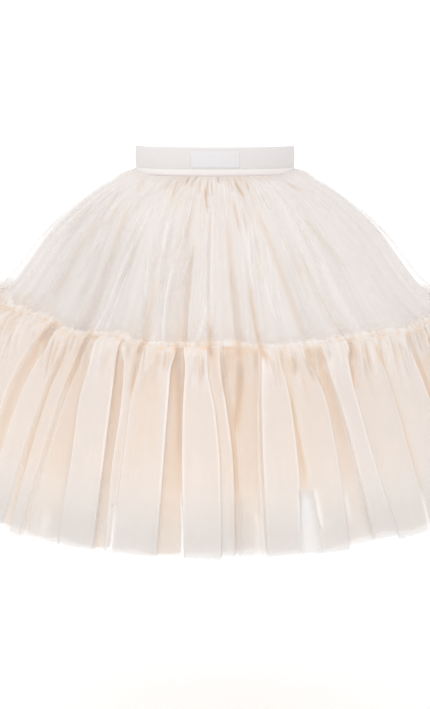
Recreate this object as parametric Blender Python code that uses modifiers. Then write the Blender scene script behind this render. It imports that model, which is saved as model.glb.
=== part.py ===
"""Two-tier gathered tulle skirt on a flat waistband, standing out as it does when it is worn.

Metres, +Z up. The origin is the middle of the waist, at half the waistband's height. The front faces -Y.
Angles run round the skirt in degrees, from the middle of the front (0) towards +X (90) and the back (180).
A drop is measured straight down from the waistband's top edge.
"""

import math
from collections import namedtuple

import bpy
from mathutils import Vector

# Waist
WAIST_HALF_WIDTH = 0.1265
WAIST_HALF_DEPTH = 0.0955
WAISTBAND_HEIGHT = 0.041
WAISTBAND_WALL = 0.003
WAISTBAND_COLUMNS = 64
PATCH_COLUMNS = 3  # on each side of the middle of the front
PATCH_TOP = 0.0035
PATCH_BOTTOM = 0.0290
PATCH_WALL = 0.001

# Gap between pieces that meet
SEAM_GAP = 0.0003
EDGE_LEAN = 0.10  # how far a half's inner edge leans towards the side seam, as a share of its wall

# Upper tier, from the waistband to the line where the flounce is stitched on
UPPER_SIDE_RUN = 0.2285
UPPER_FRONT_RUN = 0.1850
UPPER_SIDE_DROP = 0.1890
UPPER_FRONT_DROP = 0.2310
UPPER_WALL = 0.0015
UPPER_START_INSET = 0.001  # the tier begins this far under the waistband's edge
UPPER_GATHERS = 30  # on each half of the skirt
UPPER_GATHER_SHIFT = 0.22  # how far a gather wanders from even spacing, as a share of it
UPPER_GATHER_SHIFT_TURN = 2.4  # radians from one gather's shift to the next one's
UPPER_GATHER_DEPTH = 0.78  # share of a row's fold depth
UPPER_GATHER_DEPTH_SWING = 0.22
UPPER_GATHER_DEPTH_TURN = 1.9  # radians from one gather's depth to the next one's
UPPER_GATHER_PHASES = (0.0, 0.25, 0.50, 0.75)

# Flounce, from the stitch line to the hem
FLOUNCE_SIDE_RUN = 0.1100
FLOUNCE_FRONT_RUN = 0.1040
FLOUNCE_SIDE_DROP = 0.2970
FLOUNCE_FRONT_DROP = 0.2880
FLOUNCE_WALL = 0.0015
HEADING_RISE = 0.25  # up the upper tier's last row, about 8 mm above the stitch line
HEADING_CRIMP = 0.0045
HEADING_CRIMP_SHAPE = (0.0, 0.7, 1.0, 0.4)  # column by column, starting low at a side seam

# Lining
LINING_WALL = 0.0012
LINING_COLUMNS = 24  # on each half of the skirt
LINING_HEM_HALF_WIDTH = 0.398
LINING_HEM_HALF_DEPTH = 0.316
LINING_HEM_SIDE_DROP = 0.449
LINING_HEM_FRONT_DROP = 0.481

Row = namedtuple("Row", "half_width half_depth side_drop front_drop outward fold_depth")
TierRow = namedtuple("TierRow", "run_share drop_share fold_depth")
Trough = namedtuple("Trough", "angle depth_share")
Crown = namedtuple("Crown", "width_share height_share")
Fold = namedtuple("Fold", "left_top left_hem right_top right_hem height")
BandRow = namedtuple("BandRow", "drop outward")

UPPER_TIER = (
    TierRow(run_share=0.00, drop_share=0.000, fold_depth=0.0000),
    TierRow(run_share=0.09, drop_share=0.030, fold_depth=0.0035),
    TierRow(run_share=0.27, drop_share=0.135, fold_depth=0.0060),
    TierRow(run_share=0.59, drop_share=0.460, fold_depth=0.0085),
    TierRow(run_share=0.88, drop_share=0.865, fold_depth=0.0070),
    TierRow(run_share=1.00, drop_share=1.000, fold_depth=0.0000),
)
FLOUNCE = (
    TierRow(run_share=0.13, drop_share=0.030, fold_depth=0.008),
    TierRow(run_share=0.37, drop_share=0.240, fold_depth=0.018),
    TierRow(run_share=0.75, drop_share=0.660, fold_depth=0.023),
    TierRow(run_share=1.00, drop_share=1.000, fold_depth=0.025),
)
# Across one fold, from its left edge to its right
FOLD_CROWN = (
    Crown(width_share=0.00, height_share=0.00),
    Crown(width_share=0.14, height_share=0.80),
    Crown(width_share=0.50, height_share=1.00),
    Crown(width_share=0.86, height_share=0.80),
    Crown(width_share=1.00, height_share=0.00),
)
# The folds of the flounce's front: the angles of their edges at the stitch line and at the hem, and how far
# each stands up from the troughs. The back has the same folds, turned half round.
FLOUNCE_FOLDS = (
    Fold(left_top=-88.5, left_hem=-88.5, right_top=-82.0, right_hem=-84.0, height=1.00),
    Fold(left_top=-80.0, left_hem=-82.5, right_top=-75.5, right_hem=-79.0, height=0.80),
    Fold(left_top=-73.5, left_hem=-77.5, right_top=-68.0, right_hem=-73.0, height=1.00),
    Fold(left_top=-66.0, left_hem=-71.5, right_top=-61.5, right_hem=-67.5, height=0.70),
    Fold(left_top=-59.5, left_hem=-66.0, right_top=-53.5, right_hem=-61.0, height=0.95),
    Fold(left_top=-51.5, left_hem=-59.3, right_top=-43.0, right_hem=-52.0, height=1.00),
    Fold(left_top=-40.5, left_hem=-49.0, right_top=-36.8, right_hem=-42.3, height=0.95),
    Fold(left_top=-34.8, left_hem=-40.2, right_top=-30.8, right_hem=-37.6, height=0.85),
    Fold(left_top=-30.2, left_hem=-36.8, right_top=-28.7, right_hem=-29.7, height=0.45),
    Fold(left_top=-28.0, left_hem=-28.8, right_top=-23.2, right_hem=-21.8, height=1.00),
    Fold(left_top=-21.3, left_hem=-20.0, right_top=-17.8, right_hem=-18.6, height=0.80),
    Fold(left_top=-17.1, left_hem=-18.0, right_top=-10.8, right_hem=-9.8, height=1.00),
    Fold(left_top=-7.1, left_hem=-5.3, right_top=-1.9, right_hem=0.9, height=1.00),
    Fold(left_top=-1.2, left_hem=1.5, right_top=1.6, right_hem=4.0, height=0.85),
    Fold(left_top=3.0, left_hem=5.0, right_top=9.5, right_hem=8.6, height=0.40),
    Fold(left_top=10.3, left_hem=9.4, right_top=14.4, right_hem=15.4, height=1.00),
    Fold(left_top=15.7, left_hem=19.3, right_top=21.1, right_hem=23.8, height=0.90),
    Fold(left_top=21.9, left_hem=24.8, right_top=24.0, right_hem=29.7, height=0.35),
    Fold(left_top=24.7, left_hem=30.5, right_top=29.4, right_hem=34.7, height=1.00),
    Fold(left_top=30.2, left_hem=35.5, right_top=38.4, right_hem=43.5, height=0.85),
    Fold(left_top=39.2, left_hem=44.3, right_top=48.3, right_hem=53.8, height=1.00),
    Fold(left_top=50.3, left_hem=56.0, right_top=55.0, right_hem=60.5, height=0.80),
    Fold(left_top=57.0, left_hem=62.5, right_top=63.5, right_hem=68.0, height=1.00),
    Fold(left_top=65.5, left_hem=70.0, right_top=70.5, right_hem=74.0, height=0.75),
    Fold(left_top=72.5, left_hem=76.0, right_top=79.0, right_hem=81.0, height=1.00),
    Fold(left_top=81.0, left_hem=83.0, right_top=88.5, right_hem=88.5, height=0.90),
)
# How far the lining lies inside the upper tier at each of its rows
LINING_INSETS = (UPPER_WALL + SEAM_GAP, 0.0070, 0.0100, 0.0135, 0.0155, 0.0165)
WAISTBAND = (
    BandRow(drop=0.0000, outward=-0.0003),
    BandRow(drop=0.0295, outward=0.0000),
    BandRow(drop=0.0302, outward=-0.0007),
    BandRow(drop=0.0310, outward=0.0004),
    BandRow(drop=WAISTBAND_HEIGHT, outward=0.0004),
)


def cloth_material(name, colour, roughness):
    """A plain cloth finish."""
    material = bpy.data.materials.new(name)
    material.use_nodes = True
    shader = material.node_tree.nodes["Principled BSDF"]
    shader.inputs["Base Color"].default_value = (*colour, 1.0)
    shader.inputs["Roughness"].default_value = roughness
    shader.inputs["Metallic"].default_value = 0.0
    return material


def place(row, angle):
    """The point at an angle round a row, before its outward offset and its folds."""
    turn = math.radians(angle)
    side_share = math.sin(turn) ** 2
    drop = row.side_drop * side_share + row.front_drop * (1 - side_share)
    return Vector((
        row.half_width * math.sin(turn),
        -row.half_depth * math.cos(turn),
        WAISTBAND_HEIGHT / 2 - drop,
    ))


def facing_out(rows, index, angle, step=1.0):
    """The outward normal of the surface through the rows, at an angle round one of them."""
    above = rows[max(index - 1, 0)]
    below = rows[min(index + 1, len(rows) - 1)]
    down = place(below, angle) - place(above, angle)
    along = place(rows[index], angle + step) - place(rows[index], angle - step)
    return down.cross(along).normalized()


def smooth_columns(count):
    """(angle, trough share) of evenly spaced columns on the front half, where no column is a trough."""
    return [(-90 + 180 * i / count, 0.0) for i in range(count + 1)]


def gathered_columns(troughs):
    """(angle, trough share) of the columns across the gathers between the troughs."""
    columns = []
    for left, right in zip(troughs, troughs[1:]):
        for phase in UPPER_GATHER_PHASES:
            angle = left.angle + phase * (right.angle - left.angle)
            depth = left.depth_share + phase * (right.depth_share - left.depth_share)
            columns.append((angle, depth * math.cos(math.pi * phase) ** 2))
    columns.append((troughs[-1].angle, troughs[-1].depth_share))
    return columns


def upper_troughs():
    """The troughs between the upper tier's gathers, wandering from even spacing but not at the side seams."""
    spacing = 180 / UPPER_GATHERS
    troughs = []
    for i in range(UPPER_GATHERS + 1):
        inside = 0 < i < UPPER_GATHERS
        shift = UPPER_GATHER_SHIFT * spacing * math.sin(UPPER_GATHER_SHIFT_TURN * i)
        swing = UPPER_GATHER_DEPTH_SWING * math.sin(UPPER_GATHER_DEPTH_TURN * i)
        troughs.append(Trough(
            angle=-90 + spacing * i + (shift if inside else 0.0),
            depth_share=UPPER_GATHER_DEPTH + swing if inside else 1.0,
        ))
    return troughs


def folded_columns(fall):
    """(angle, trough share) of the columns across the flounce's folds, at a share of the way to its hem."""
    columns = [(-90.0, 1.0)]
    for fold in FLOUNCE_FOLDS:
        left = fold.left_top + fall * (fold.left_hem - fold.left_top)
        right = fold.right_top + fall * (fold.right_hem - fold.right_top)
        if len(columns) > 1:
            columns.append(((columns[-1][0] + left) / 2, 1.0))
        for crown in FOLD_CROWN:
            angle = left + crown.width_share * (right - left)
            columns.append((angle, 1 - fold.height * crown.height_share))
    columns.append((90.0, 1.0))
    return columns


def tier_rows(start, runs, drops, tier):
    """Rows of a tier that runs out and down from a row by the given amounts (at the side, at the front)."""
    return [
        Row(
            half_width=start.half_width + runs[0] * row.run_share,
            half_depth=start.half_depth + runs[1] * row.run_share,
            side_drop=start.side_drop + drops[0] * row.drop_share,
            front_drop=start.front_drop + drops[1] * row.drop_share,
            outward=start.outward,
            fold_depth=row.fold_depth,
        )
        for row in tier
    ]


def between(row, other, share):
    """The row that lies the given share of the way from one row to another."""
    return Row(*(a + share * (b - a) for a, b in zip(row, other)))


def surface_points(rows, row_columns, half_turn=0):
    """A grid of points, row by row, with each row's outward offset and troughs. A half turn makes the back."""
    grid = []
    for index, (row, columns) in enumerate(zip(rows, row_columns)):
        line = []
        for angle, trough_share in columns:
            angle += half_turn
            offset = row.outward - row.fold_depth * trough_share
            line.append(place(row, angle) + offset * facing_out(rows, index, angle))
        grid.append(line)
    return grid


def open_side_seams(grid, half_turn, wall):
    """Draws both side edges of a half back from the side seams, so that the halves lie a seam's gap apart."""
    side = 1 if half_turn else -1
    set_back = SEAM_GAP / 2 + EDGE_LEAN * wall
    for line in grid:
        for point in line:
            point.y = side * max(side * point.y, set_back)


def sewn_piece(name, grid, wall, material, collection, closed=False):
    """One cloth piece: an open surface through the grid's points, made solid inwards."""
    columns = len(grid[0])
    spans = columns if closed else columns - 1
    faces = []
    for r in range(len(grid) - 1):
        for c in range(spans):
            left = r * columns + c
            right = r * columns + (c + 1) % columns
            faces.append((left, left + columns, right + columns, right))
    mesh = bpy.data.meshes.new(name)
    mesh.from_pydata([point for line in grid for point in line], [], faces)
    mesh.materials.append(material)
    mesh.shade_smooth()
    piece = bpy.data.objects.new(name, mesh)
    collection.objects.link(piece)
    thickness = piece.modifiers.new("wall", "SOLIDIFY")
    thickness.thickness = wall
    thickness.offset = -1
    return piece


def sew_halves(name, rows, columns, wall, material, collection):
    """A tier's front and back, which meet at the side seams."""
    for half, half_turn in (("front", 0), ("back", 180)):
        grid = surface_points(rows, [columns] * len(rows), half_turn)
        open_side_seams(grid, half_turn, wall)
        sewn_piece(f"{name}_{half}", grid, wall, material, collection)


def waistband_row(drop, outward):
    """A level ring of the waistband."""
    return Row(WAIST_HALF_WIDTH, WAIST_HALF_DEPTH, drop, drop, outward, 0.0)


def make_waistband(material, collection):
    """The elastic waistband: a flat channel above a stitched groove and the flange that holds the gathers."""
    rows = [waistband_row(row.drop, row.outward) for row in WAISTBAND]
    columns = [(360 * i / WAISTBAND_COLUMNS, 0.0) for i in range(WAISTBAND_COLUMNS)]
    grid = surface_points(rows, [columns] * len(rows))
    sewn_piece("waistband", grid, WAISTBAND_WALL, material, collection, closed=True)


def make_waist_patch(material, collection):
    """The bare patch sewn to the middle of the waistband's front, made from the band's own columns moved out."""
    outward = SEAM_GAP + PATCH_WALL
    rows = [waistband_row(PATCH_TOP, outward), waistband_row(PATCH_BOTTOM, outward)]
    spacing = 360 / WAISTBAND_COLUMNS
    columns = [(spacing * i, 0.0) for i in range(-PATCH_COLUMNS, PATCH_COLUMNS + 1)]
    grid = surface_points(rows, [columns] * len(rows))
    sewn_piece("waist_patch", grid, PATCH_WALL, material, collection)


def upper_rows():
    """The upper tier's rows, starting under the waistband's lower edge."""
    drop = WAISTBAND_HEIGHT + SEAM_GAP
    start = Row(
        half_width=WAIST_HALF_WIDTH - UPPER_START_INSET,
        half_depth=WAIST_HALF_DEPTH - UPPER_START_INSET,
        side_drop=drop,
        front_drop=drop,
        outward=0.0,
        fold_depth=0.0,
    )
    runs = (UPPER_SIDE_RUN, UPPER_FRONT_RUN)
    drops = (UPPER_SIDE_DROP, UPPER_FRONT_DROP)
    return tier_rows(start, runs, drops, UPPER_TIER)


def make_upper_tier(material, collection):
    """The gathered upper tier."""
    columns = gathered_columns(upper_troughs())
    sew_halves("upper_tier", upper_rows(), columns, UPPER_WALL, material, collection)


def make_flounce(material, collection):
    """The flounce: a crimped heading that stands up over the stitch line, and folds that fall to the hem."""
    stitch = upper_rows()[-1]
    above = upper_rows()[-2]._replace(fold_depth=0.0)
    runs = (FLOUNCE_SIDE_RUN, FLOUNCE_FRONT_RUN)
    drops = (FLOUNCE_SIDE_DROP, FLOUNCE_FRONT_DROP)
    lies_on = FLOUNCE_WALL + 2 * SEAM_GAP
    fall = tier_rows(stitch, runs, drops, FLOUNCE)
    heading = between(stitch, above, HEADING_RISE)._replace(outward=lies_on, fold_depth=0.0)
    rows = [heading, stitch._replace(outward=lies_on), *fall]
    row_columns = [folded_columns(share) for share in (0.0, 0.0, *(row.drop_share for row in FLOUNCE))]
    for half, half_turn in (("front", 0), ("back", 180)):
        grid = surface_points(rows, row_columns, half_turn)
        for i, (angle, _) in enumerate(row_columns[0]):
            crimp = HEADING_CRIMP * HEADING_CRIMP_SHAPE[i % len(HEADING_CRIMP_SHAPE)]
            grid[0][i] += crimp * facing_out([heading, stitch], 0, angle + half_turn)
        open_side_seams(grid, half_turn, FLOUNCE_WALL)
        sewn_piece(f"flounce_{half}", grid, FLOUNCE_WALL, material, collection)


def make_lining(material, collection):
    """The smooth lining under the upper tier, which hangs on to a hem inside the flounce."""
    under_tier = [
        row._replace(outward=-inset, fold_depth=0.0)
        for row, inset in zip(upper_rows(), LINING_INSETS)
    ]
    hem = Row(
        half_width=LINING_HEM_HALF_WIDTH,
        half_depth=LINING_HEM_HALF_DEPTH,
        side_drop=LINING_HEM_SIDE_DROP,
        front_drop=LINING_HEM_FRONT_DROP,
        outward=0.0,
        fold_depth=0.0,
    )
    rows = [*under_tier, hem]
    sew_halves("lining", rows, smooth_columns(LINING_COLUMNS), LINING_WALL, material, collection)


def main():
    """Makes the skirt."""
    for old in list(bpy.data.objects):
        bpy.data.objects.remove(old)
    collection = bpy.data.collections.new("tulle_skirt")
    bpy.context.scene.collection.children.link(collection)
    band_cloth = cloth_material("waistband_cloth", colour=(0.86, 0.83, 0.82), roughness=0.55)
    patch_cloth = cloth_material("patch_satin", colour=(0.85, 0.84, 0.86), roughness=0.40)
    net = cloth_material("ivory_net", colour=(0.86, 0.79, 0.75), roughness=0.85)
    flounce_net = cloth_material("blush_net", colour=(0.87, 0.77, 0.68), roughness=0.85)
    lining_cloth = cloth_material("lining_cloth", colour=(0.84, 0.78, 0.76), roughness=0.60)
    make_waistband(band_cloth, collection)
    make_waist_patch(patch_cloth, collection)
    make_upper_tier(net, collection)
    make_flounce(flounce_net, collection)
    make_lining(lining_cloth, collection)


main()
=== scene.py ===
"""Gathered tulle skirt in two tiers: nets over a lining, their creases, waistband, sewing and a studio.

Metres, +Z up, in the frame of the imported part. The front faces -Y. Angles run round the skirt in degrees,
from the middle of the front (0) towards +X (90) and the back (180). A fall is a share of the way down a tier.
"""

import math
from collections import namedtuple

import bpy
import numpy as np
from bpy.props import FloatProperty, FloatVectorProperty, IntProperty, PointerProperty
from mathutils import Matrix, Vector


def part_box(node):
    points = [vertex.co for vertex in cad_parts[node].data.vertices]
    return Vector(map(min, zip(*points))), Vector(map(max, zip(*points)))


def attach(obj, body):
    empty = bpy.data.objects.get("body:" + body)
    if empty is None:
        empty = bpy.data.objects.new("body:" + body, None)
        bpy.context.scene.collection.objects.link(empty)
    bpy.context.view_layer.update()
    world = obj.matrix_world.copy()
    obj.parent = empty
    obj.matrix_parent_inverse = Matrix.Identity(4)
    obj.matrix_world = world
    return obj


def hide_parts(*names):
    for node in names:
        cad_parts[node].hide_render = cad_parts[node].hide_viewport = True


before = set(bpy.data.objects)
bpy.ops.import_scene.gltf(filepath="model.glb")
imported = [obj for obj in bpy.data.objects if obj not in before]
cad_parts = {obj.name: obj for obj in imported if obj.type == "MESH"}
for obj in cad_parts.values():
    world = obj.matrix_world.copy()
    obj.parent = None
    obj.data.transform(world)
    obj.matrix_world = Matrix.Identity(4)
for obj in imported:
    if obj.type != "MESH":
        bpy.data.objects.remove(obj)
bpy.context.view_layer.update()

bl_info = {
    "name": "Tulle Skirt",
    "version": (1, 0, 0),
    "blender": (4, 5, 0),
    "location": "3D View > Sidebar > Tulle Skirt",
    "description": "Sews the nets, lining, waistband and stitching of a two-tier tulle skirt",
    "category": "Object",
}

BODY = "root"
HALVES = (("front", 0.0), ("back", 180.0))

band_low, band_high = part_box("waistband")
tier_low, tier_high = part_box("upper_tier_front")
patch_low, patch_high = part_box("waist_patch")
FLANGE_OUT = 0.0004
SEAM_GAP = 0.0003
BAND_RISE = 0.0020  # the soft top edge stands a little over the solid one
# What each piece adds to the seed, and what the back adds
SEEDS = {"waistband": 0, "upper_tier": 0, "flounce": 40, "gathers": 41, "under_net": 45, "lining": 70}
BACK_SEED = 100
LEVEL = np.array([1.0, 1.0, 0.0])  # takes a vector's level part
KEY_PLACE, KEY_AIM, KEY_SIZE = Vector((-0.9, -2.2, 1.6)), Vector((0, 0, -0.3)), 1.6
FLOOR_REACH = 12.0  # to each side
SENSOR_WIDTH = 36.0  # millimetres
UPPER_MESH, FLOUNCE_MESH = 0.14, 0.22  # how clearly the nets' holes show

TierRow = namedtuple("TierRow", "run drop")
UPPER_SHAPE = (
    TierRow(run=0.00, drop=0.000),
    TierRow(run=0.09, drop=0.030),
    TierRow(run=0.27, drop=0.135),
    TierRow(run=0.59, drop=0.460),
    TierRow(run=0.88, drop=0.865),
    TierRow(run=1.00, drop=1.000),
)
FLOUNCE_SHAPE = (
    TierRow(run=0.00, drop=0.000),
    TierRow(run=0.13, drop=0.030),
    TierRow(run=0.37, drop=0.240),
    TierRow(run=0.75, drop=0.660),
    TierRow(run=1.00, drop=1.000),
)

# How much lower than the smooth shape the flounce's seam hangs, by angle all round the skirt
SeamSag = namedtuple("SeamSag", "angle drop")
SEAM_SAGS = [SeamSag(*row) for row in (
    (-90.0, 0.0), (-60.0, -0.0015), (-46.0, -0.001), (-39.0, 0.0045), (-33.0, 0.0062), (-28.0, 0.0022),
    (-22.6, 0.0015), (-17.6, 0.0052), (-12.8, 0.0058), (-3.5, 0.0038), (1.2, 0.003), (5.8, 0.0042),
    (10.5, 0.0076), (15.2, 0.0104), (20.0, 0.0124), (25.0, 0.01), (30.5, 0.0112), (36.5, 0.013),
    (43.0, 0.016), (50.5, 0.0195), (60.0, 0.0175), (75.0, 0.015), (100.0, 0.012), (150.0, 0.0), (270.0, 0.0),
)]
FLOUNCE_DROP = 0.29  # about how far the flounce drops in all, for sharing out a sag

# Falls at which the edges of the folds are given
EDGE_FALLS = (0.02, 0.12, 0.30, 0.60, 1.00)
# How far a trough lies in from the folds, by fall
TROUGH_FALLS = (0.0, 0.02, 0.06, 0.24, 0.66, 1.0)
TROUGH_DEPTHS = (0.0012, 0.0038, 0.0058, 0.0082, 0.0098, 0.0108)
# How far the upper tier's under net lies in from its outer one, by fall
UNDER_FALLS = (0, 0.06, 0.3, 0.6, 1.0)
UNDER_DEPTHS = (0.0008, 0.0025, 0.0042, 0.0085, 0.0125)
# How far the lining lies in from the upper tier, at the drops in UPPER_SHAPE
LINING_INSETS = (0.0018, 0.0070, 0.0100, 0.0135, 0.0155, 0.0165)
LINING_SWAY = 0.004  # how far in its hem sways
# A fold has left and right edges, as angles at EDGE_FALLS, and a height, as a share of the troughs' depth.
# Its lines say how crisp its left and right edges are and how pale a line is painted along them, for doubled
# net and a painted highlight; its warmth, how much warm shade is painted beside them; both from 0 to 1. Its
# trough is the one to its right, as shares of the full depth at the seam and at the hem. Its own hem lies at
# a fall.
Fold = namedtuple("Fold", "left right height lines warmth trough hem")
FLOUNCE_FOLDS = [Fold(*row) for row in (
    ((-88.5, -88.5, -88.5, -88.5, -88.5), (-82.5, -82.6, -82.9, -83.4, -84.0),
     1.0, (0.3, 0.5), (0.2, 0.1), (1.0, 0.9), 0.993),
    ((-80.5, -80.8, -81.2, -81.8, -82.5), (-76.0, -76.3, -77.0, -78.0, -79.0),
     0.8, (0.5, 0.2), (0.3, 0.4), (1.0, 1.0), 0.986),
    ((-74.0, -74.4, -75.2, -76.4, -77.5), (-68.5, -69.0, -70.0, -71.5, -73.0),
     1.0, (0.6, 0.5), (0.1, 0.2), (1.0, 0.9), 0.99),
    ((-66.5, -67.0, -68.0, -69.8, -71.5), (-62.0, -62.6, -63.6, -65.5, -67.5),
     0.7, (0.3, 0.3), (0.4, 0.4), (1.0, 0.8), 0.983),
    ((-60.0, -60.8, -62.0, -64.0, -66.0), (-52.8, -53.6, -55.3, -57.8, -60.2),
     0.95, (0.5, 0.4), (0.2, 0.3), (0.9, 0.9), 0.993),
    ((-52.0, -52.8, -54.5, -57.0, -59.3), (-42.9, -45.2, -48.6, -50.4, -52.0),
     1.0, (0.4, 0.5), (0.2, 0.3), (0.7, 0.6), 0.973),
    ((-38.8, -41.0, -44.1, -46.1, -48.5), (-35.4, -36.6, -38.5, -40.5, -42.5),
     0.95, (0.5, 0.3), (0.15, 0.25), (0.8, 0.8), 0.965),
    ((-34.3, -35.1, -37.0, -38.6, -40.2), (-31.2, -31.9, -33.8, -35.6, -37.8),
     0.85, (0.6, 0.3), (0.3, 0.35), (1.0, 0.9), 0.993),
    ((-29.4, -30.6, -32.6, -34.4, -36.2), (-28.0, -28.3, -29.4, -29.0, -29.4),
     0.45, (0.5, 0.0), (0.3, 0.6), (0.6, 0.55), 0.988),
    ((-27.4, -27.8, -29.0, -28.6, -29.0), (-22.2, -21.9, -21.7, -21.6, -21.9),
     1.0, (0.3, 1.0), (0.05, 0.15), (0.9, 0.9), 0.99),
    ((-20.9, -19.9, -19.5, -19.9, -19.7), (-17.5, -17.3, -17.9, -18.1, -19.0),
     0.8, (0.7, 0.4), (0.25, 0.35), (1.0, 0.4), 0.988),
    ((-15.9, -16.5, -17.6, -17.8, -18.5), (-9.1, -9.5, -9.6, -9.8, -10.2),
     1.0, (0.4, 1.0), (0.3, 0.15), (0.9, 0.75), 0.993),
    ((-6.4, -6.4, -6.5, -6.1, -5.3), (-1.9, -1.5, 0.0, 1.0, 1.1),
     1.0, (1.0, 0.8), (0.1, 0.2), (1.0, 0.4), 0.996),
    ((-0.6, -0.9, 0.3, 1.3, 1.3), (0.9, 1.3, 2.4, 3.5, 3.5),
     0.85, (0.2, 0.9), (0.4, 0.35), (1.0, 0.9), 0.983),
    ((1.9, 2.6, 4.2, 4.8, 4.6), (9.4, 9.3, 8.6, 8.2, 8.4),
     0.42, (0.3, 0.1), (0.3, 0.4), (0.6, 0.65), 0.985),
    ((10.6, 9.9, 9.5, 9.2, 9.3), (13.9, 14.8, 15.7, 15.9, 15.0),
     1.0, (0.6, 0.7), (0.05, 0.15), (0.8, 0.5), 0.993),
    ((15.4, 15.1, 16.5, 17.8, 20.0), (19.6, 21.6, 23.5, 24.1, 24.3),
     0.9, (0.1, 0.5), (0.3, 0.2), (0.9, 0.4), 1.0),
    ((21.6, 22.5, 24.0, 24.6, 24.8), (23.3, 24.3, 26.0, 27.6, 29.5),
     0.48, (0.3, 0.0), (0.4, 0.35), (0.8, 0.5), 0.978),
    ((24.4, 24.9, 26.5, 28.0, 29.8), (30.6, 29.9, 30.4, 31.8, 34.8),
     1.0, (0.3, 0.7), (0.0, 0.0), (0.9, 0.5), 0.976),
    ((32.4, 31.2, 30.9, 32.2, 35.2), (38.9, 38.9, 40.0, 40.9, 43.0),
     0.85, (0.0, 0.5), (0.25, 0.0), (1.0, 0.5), 0.996),
    ((40.3, 39.8, 40.4, 41.5, 43.6), (47.5, 48.6, 49.9, 51.5, 53.8),
     1.0, (0.1, 0.6), (0.25, 0.0), (0.45, 0.6), 0.998),
    ((51.0, 51.8, 53.2, 55.0, 56.5), (55.5, 56.0, 57.2, 59.0, 61.0),
     0.65, (0.2, 0.3), (0.5, 0.45), (0.9, 0.8), 0.988),
    ((57.5, 58.0, 59.2, 61.0, 63.0), (63.5, 64.2, 65.2, 66.8, 68.4),
     1.0, (0.5, 0.5), (0.1, 0.2), (1.0, 0.9), 0.993),
    ((66.0, 66.6, 67.6, 68.8, 70.2), (70.6, 71.0, 72.0, 73.0, 74.2),
     0.75, (0.2, 0.3), (0.4, 0.4), (1.0, 0.8), 0.983),
    ((72.8, 73.2, 74.0, 75.0, 76.2), (79.0, 79.3, 79.8, 80.4, 81.0),
     1.0, (0.5, 0.6), (0.2, 0.1), (0.9, 0.9), 0.993),
    ((81.2, 81.5, 82.0, 82.5, 83.2), (88.5, 88.5, 88.5, 88.5, 88.5),
     0.9, (0.3, 0.3), (0.3, 0.2), (1.0, 1.0), 0.988),
)]

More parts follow.
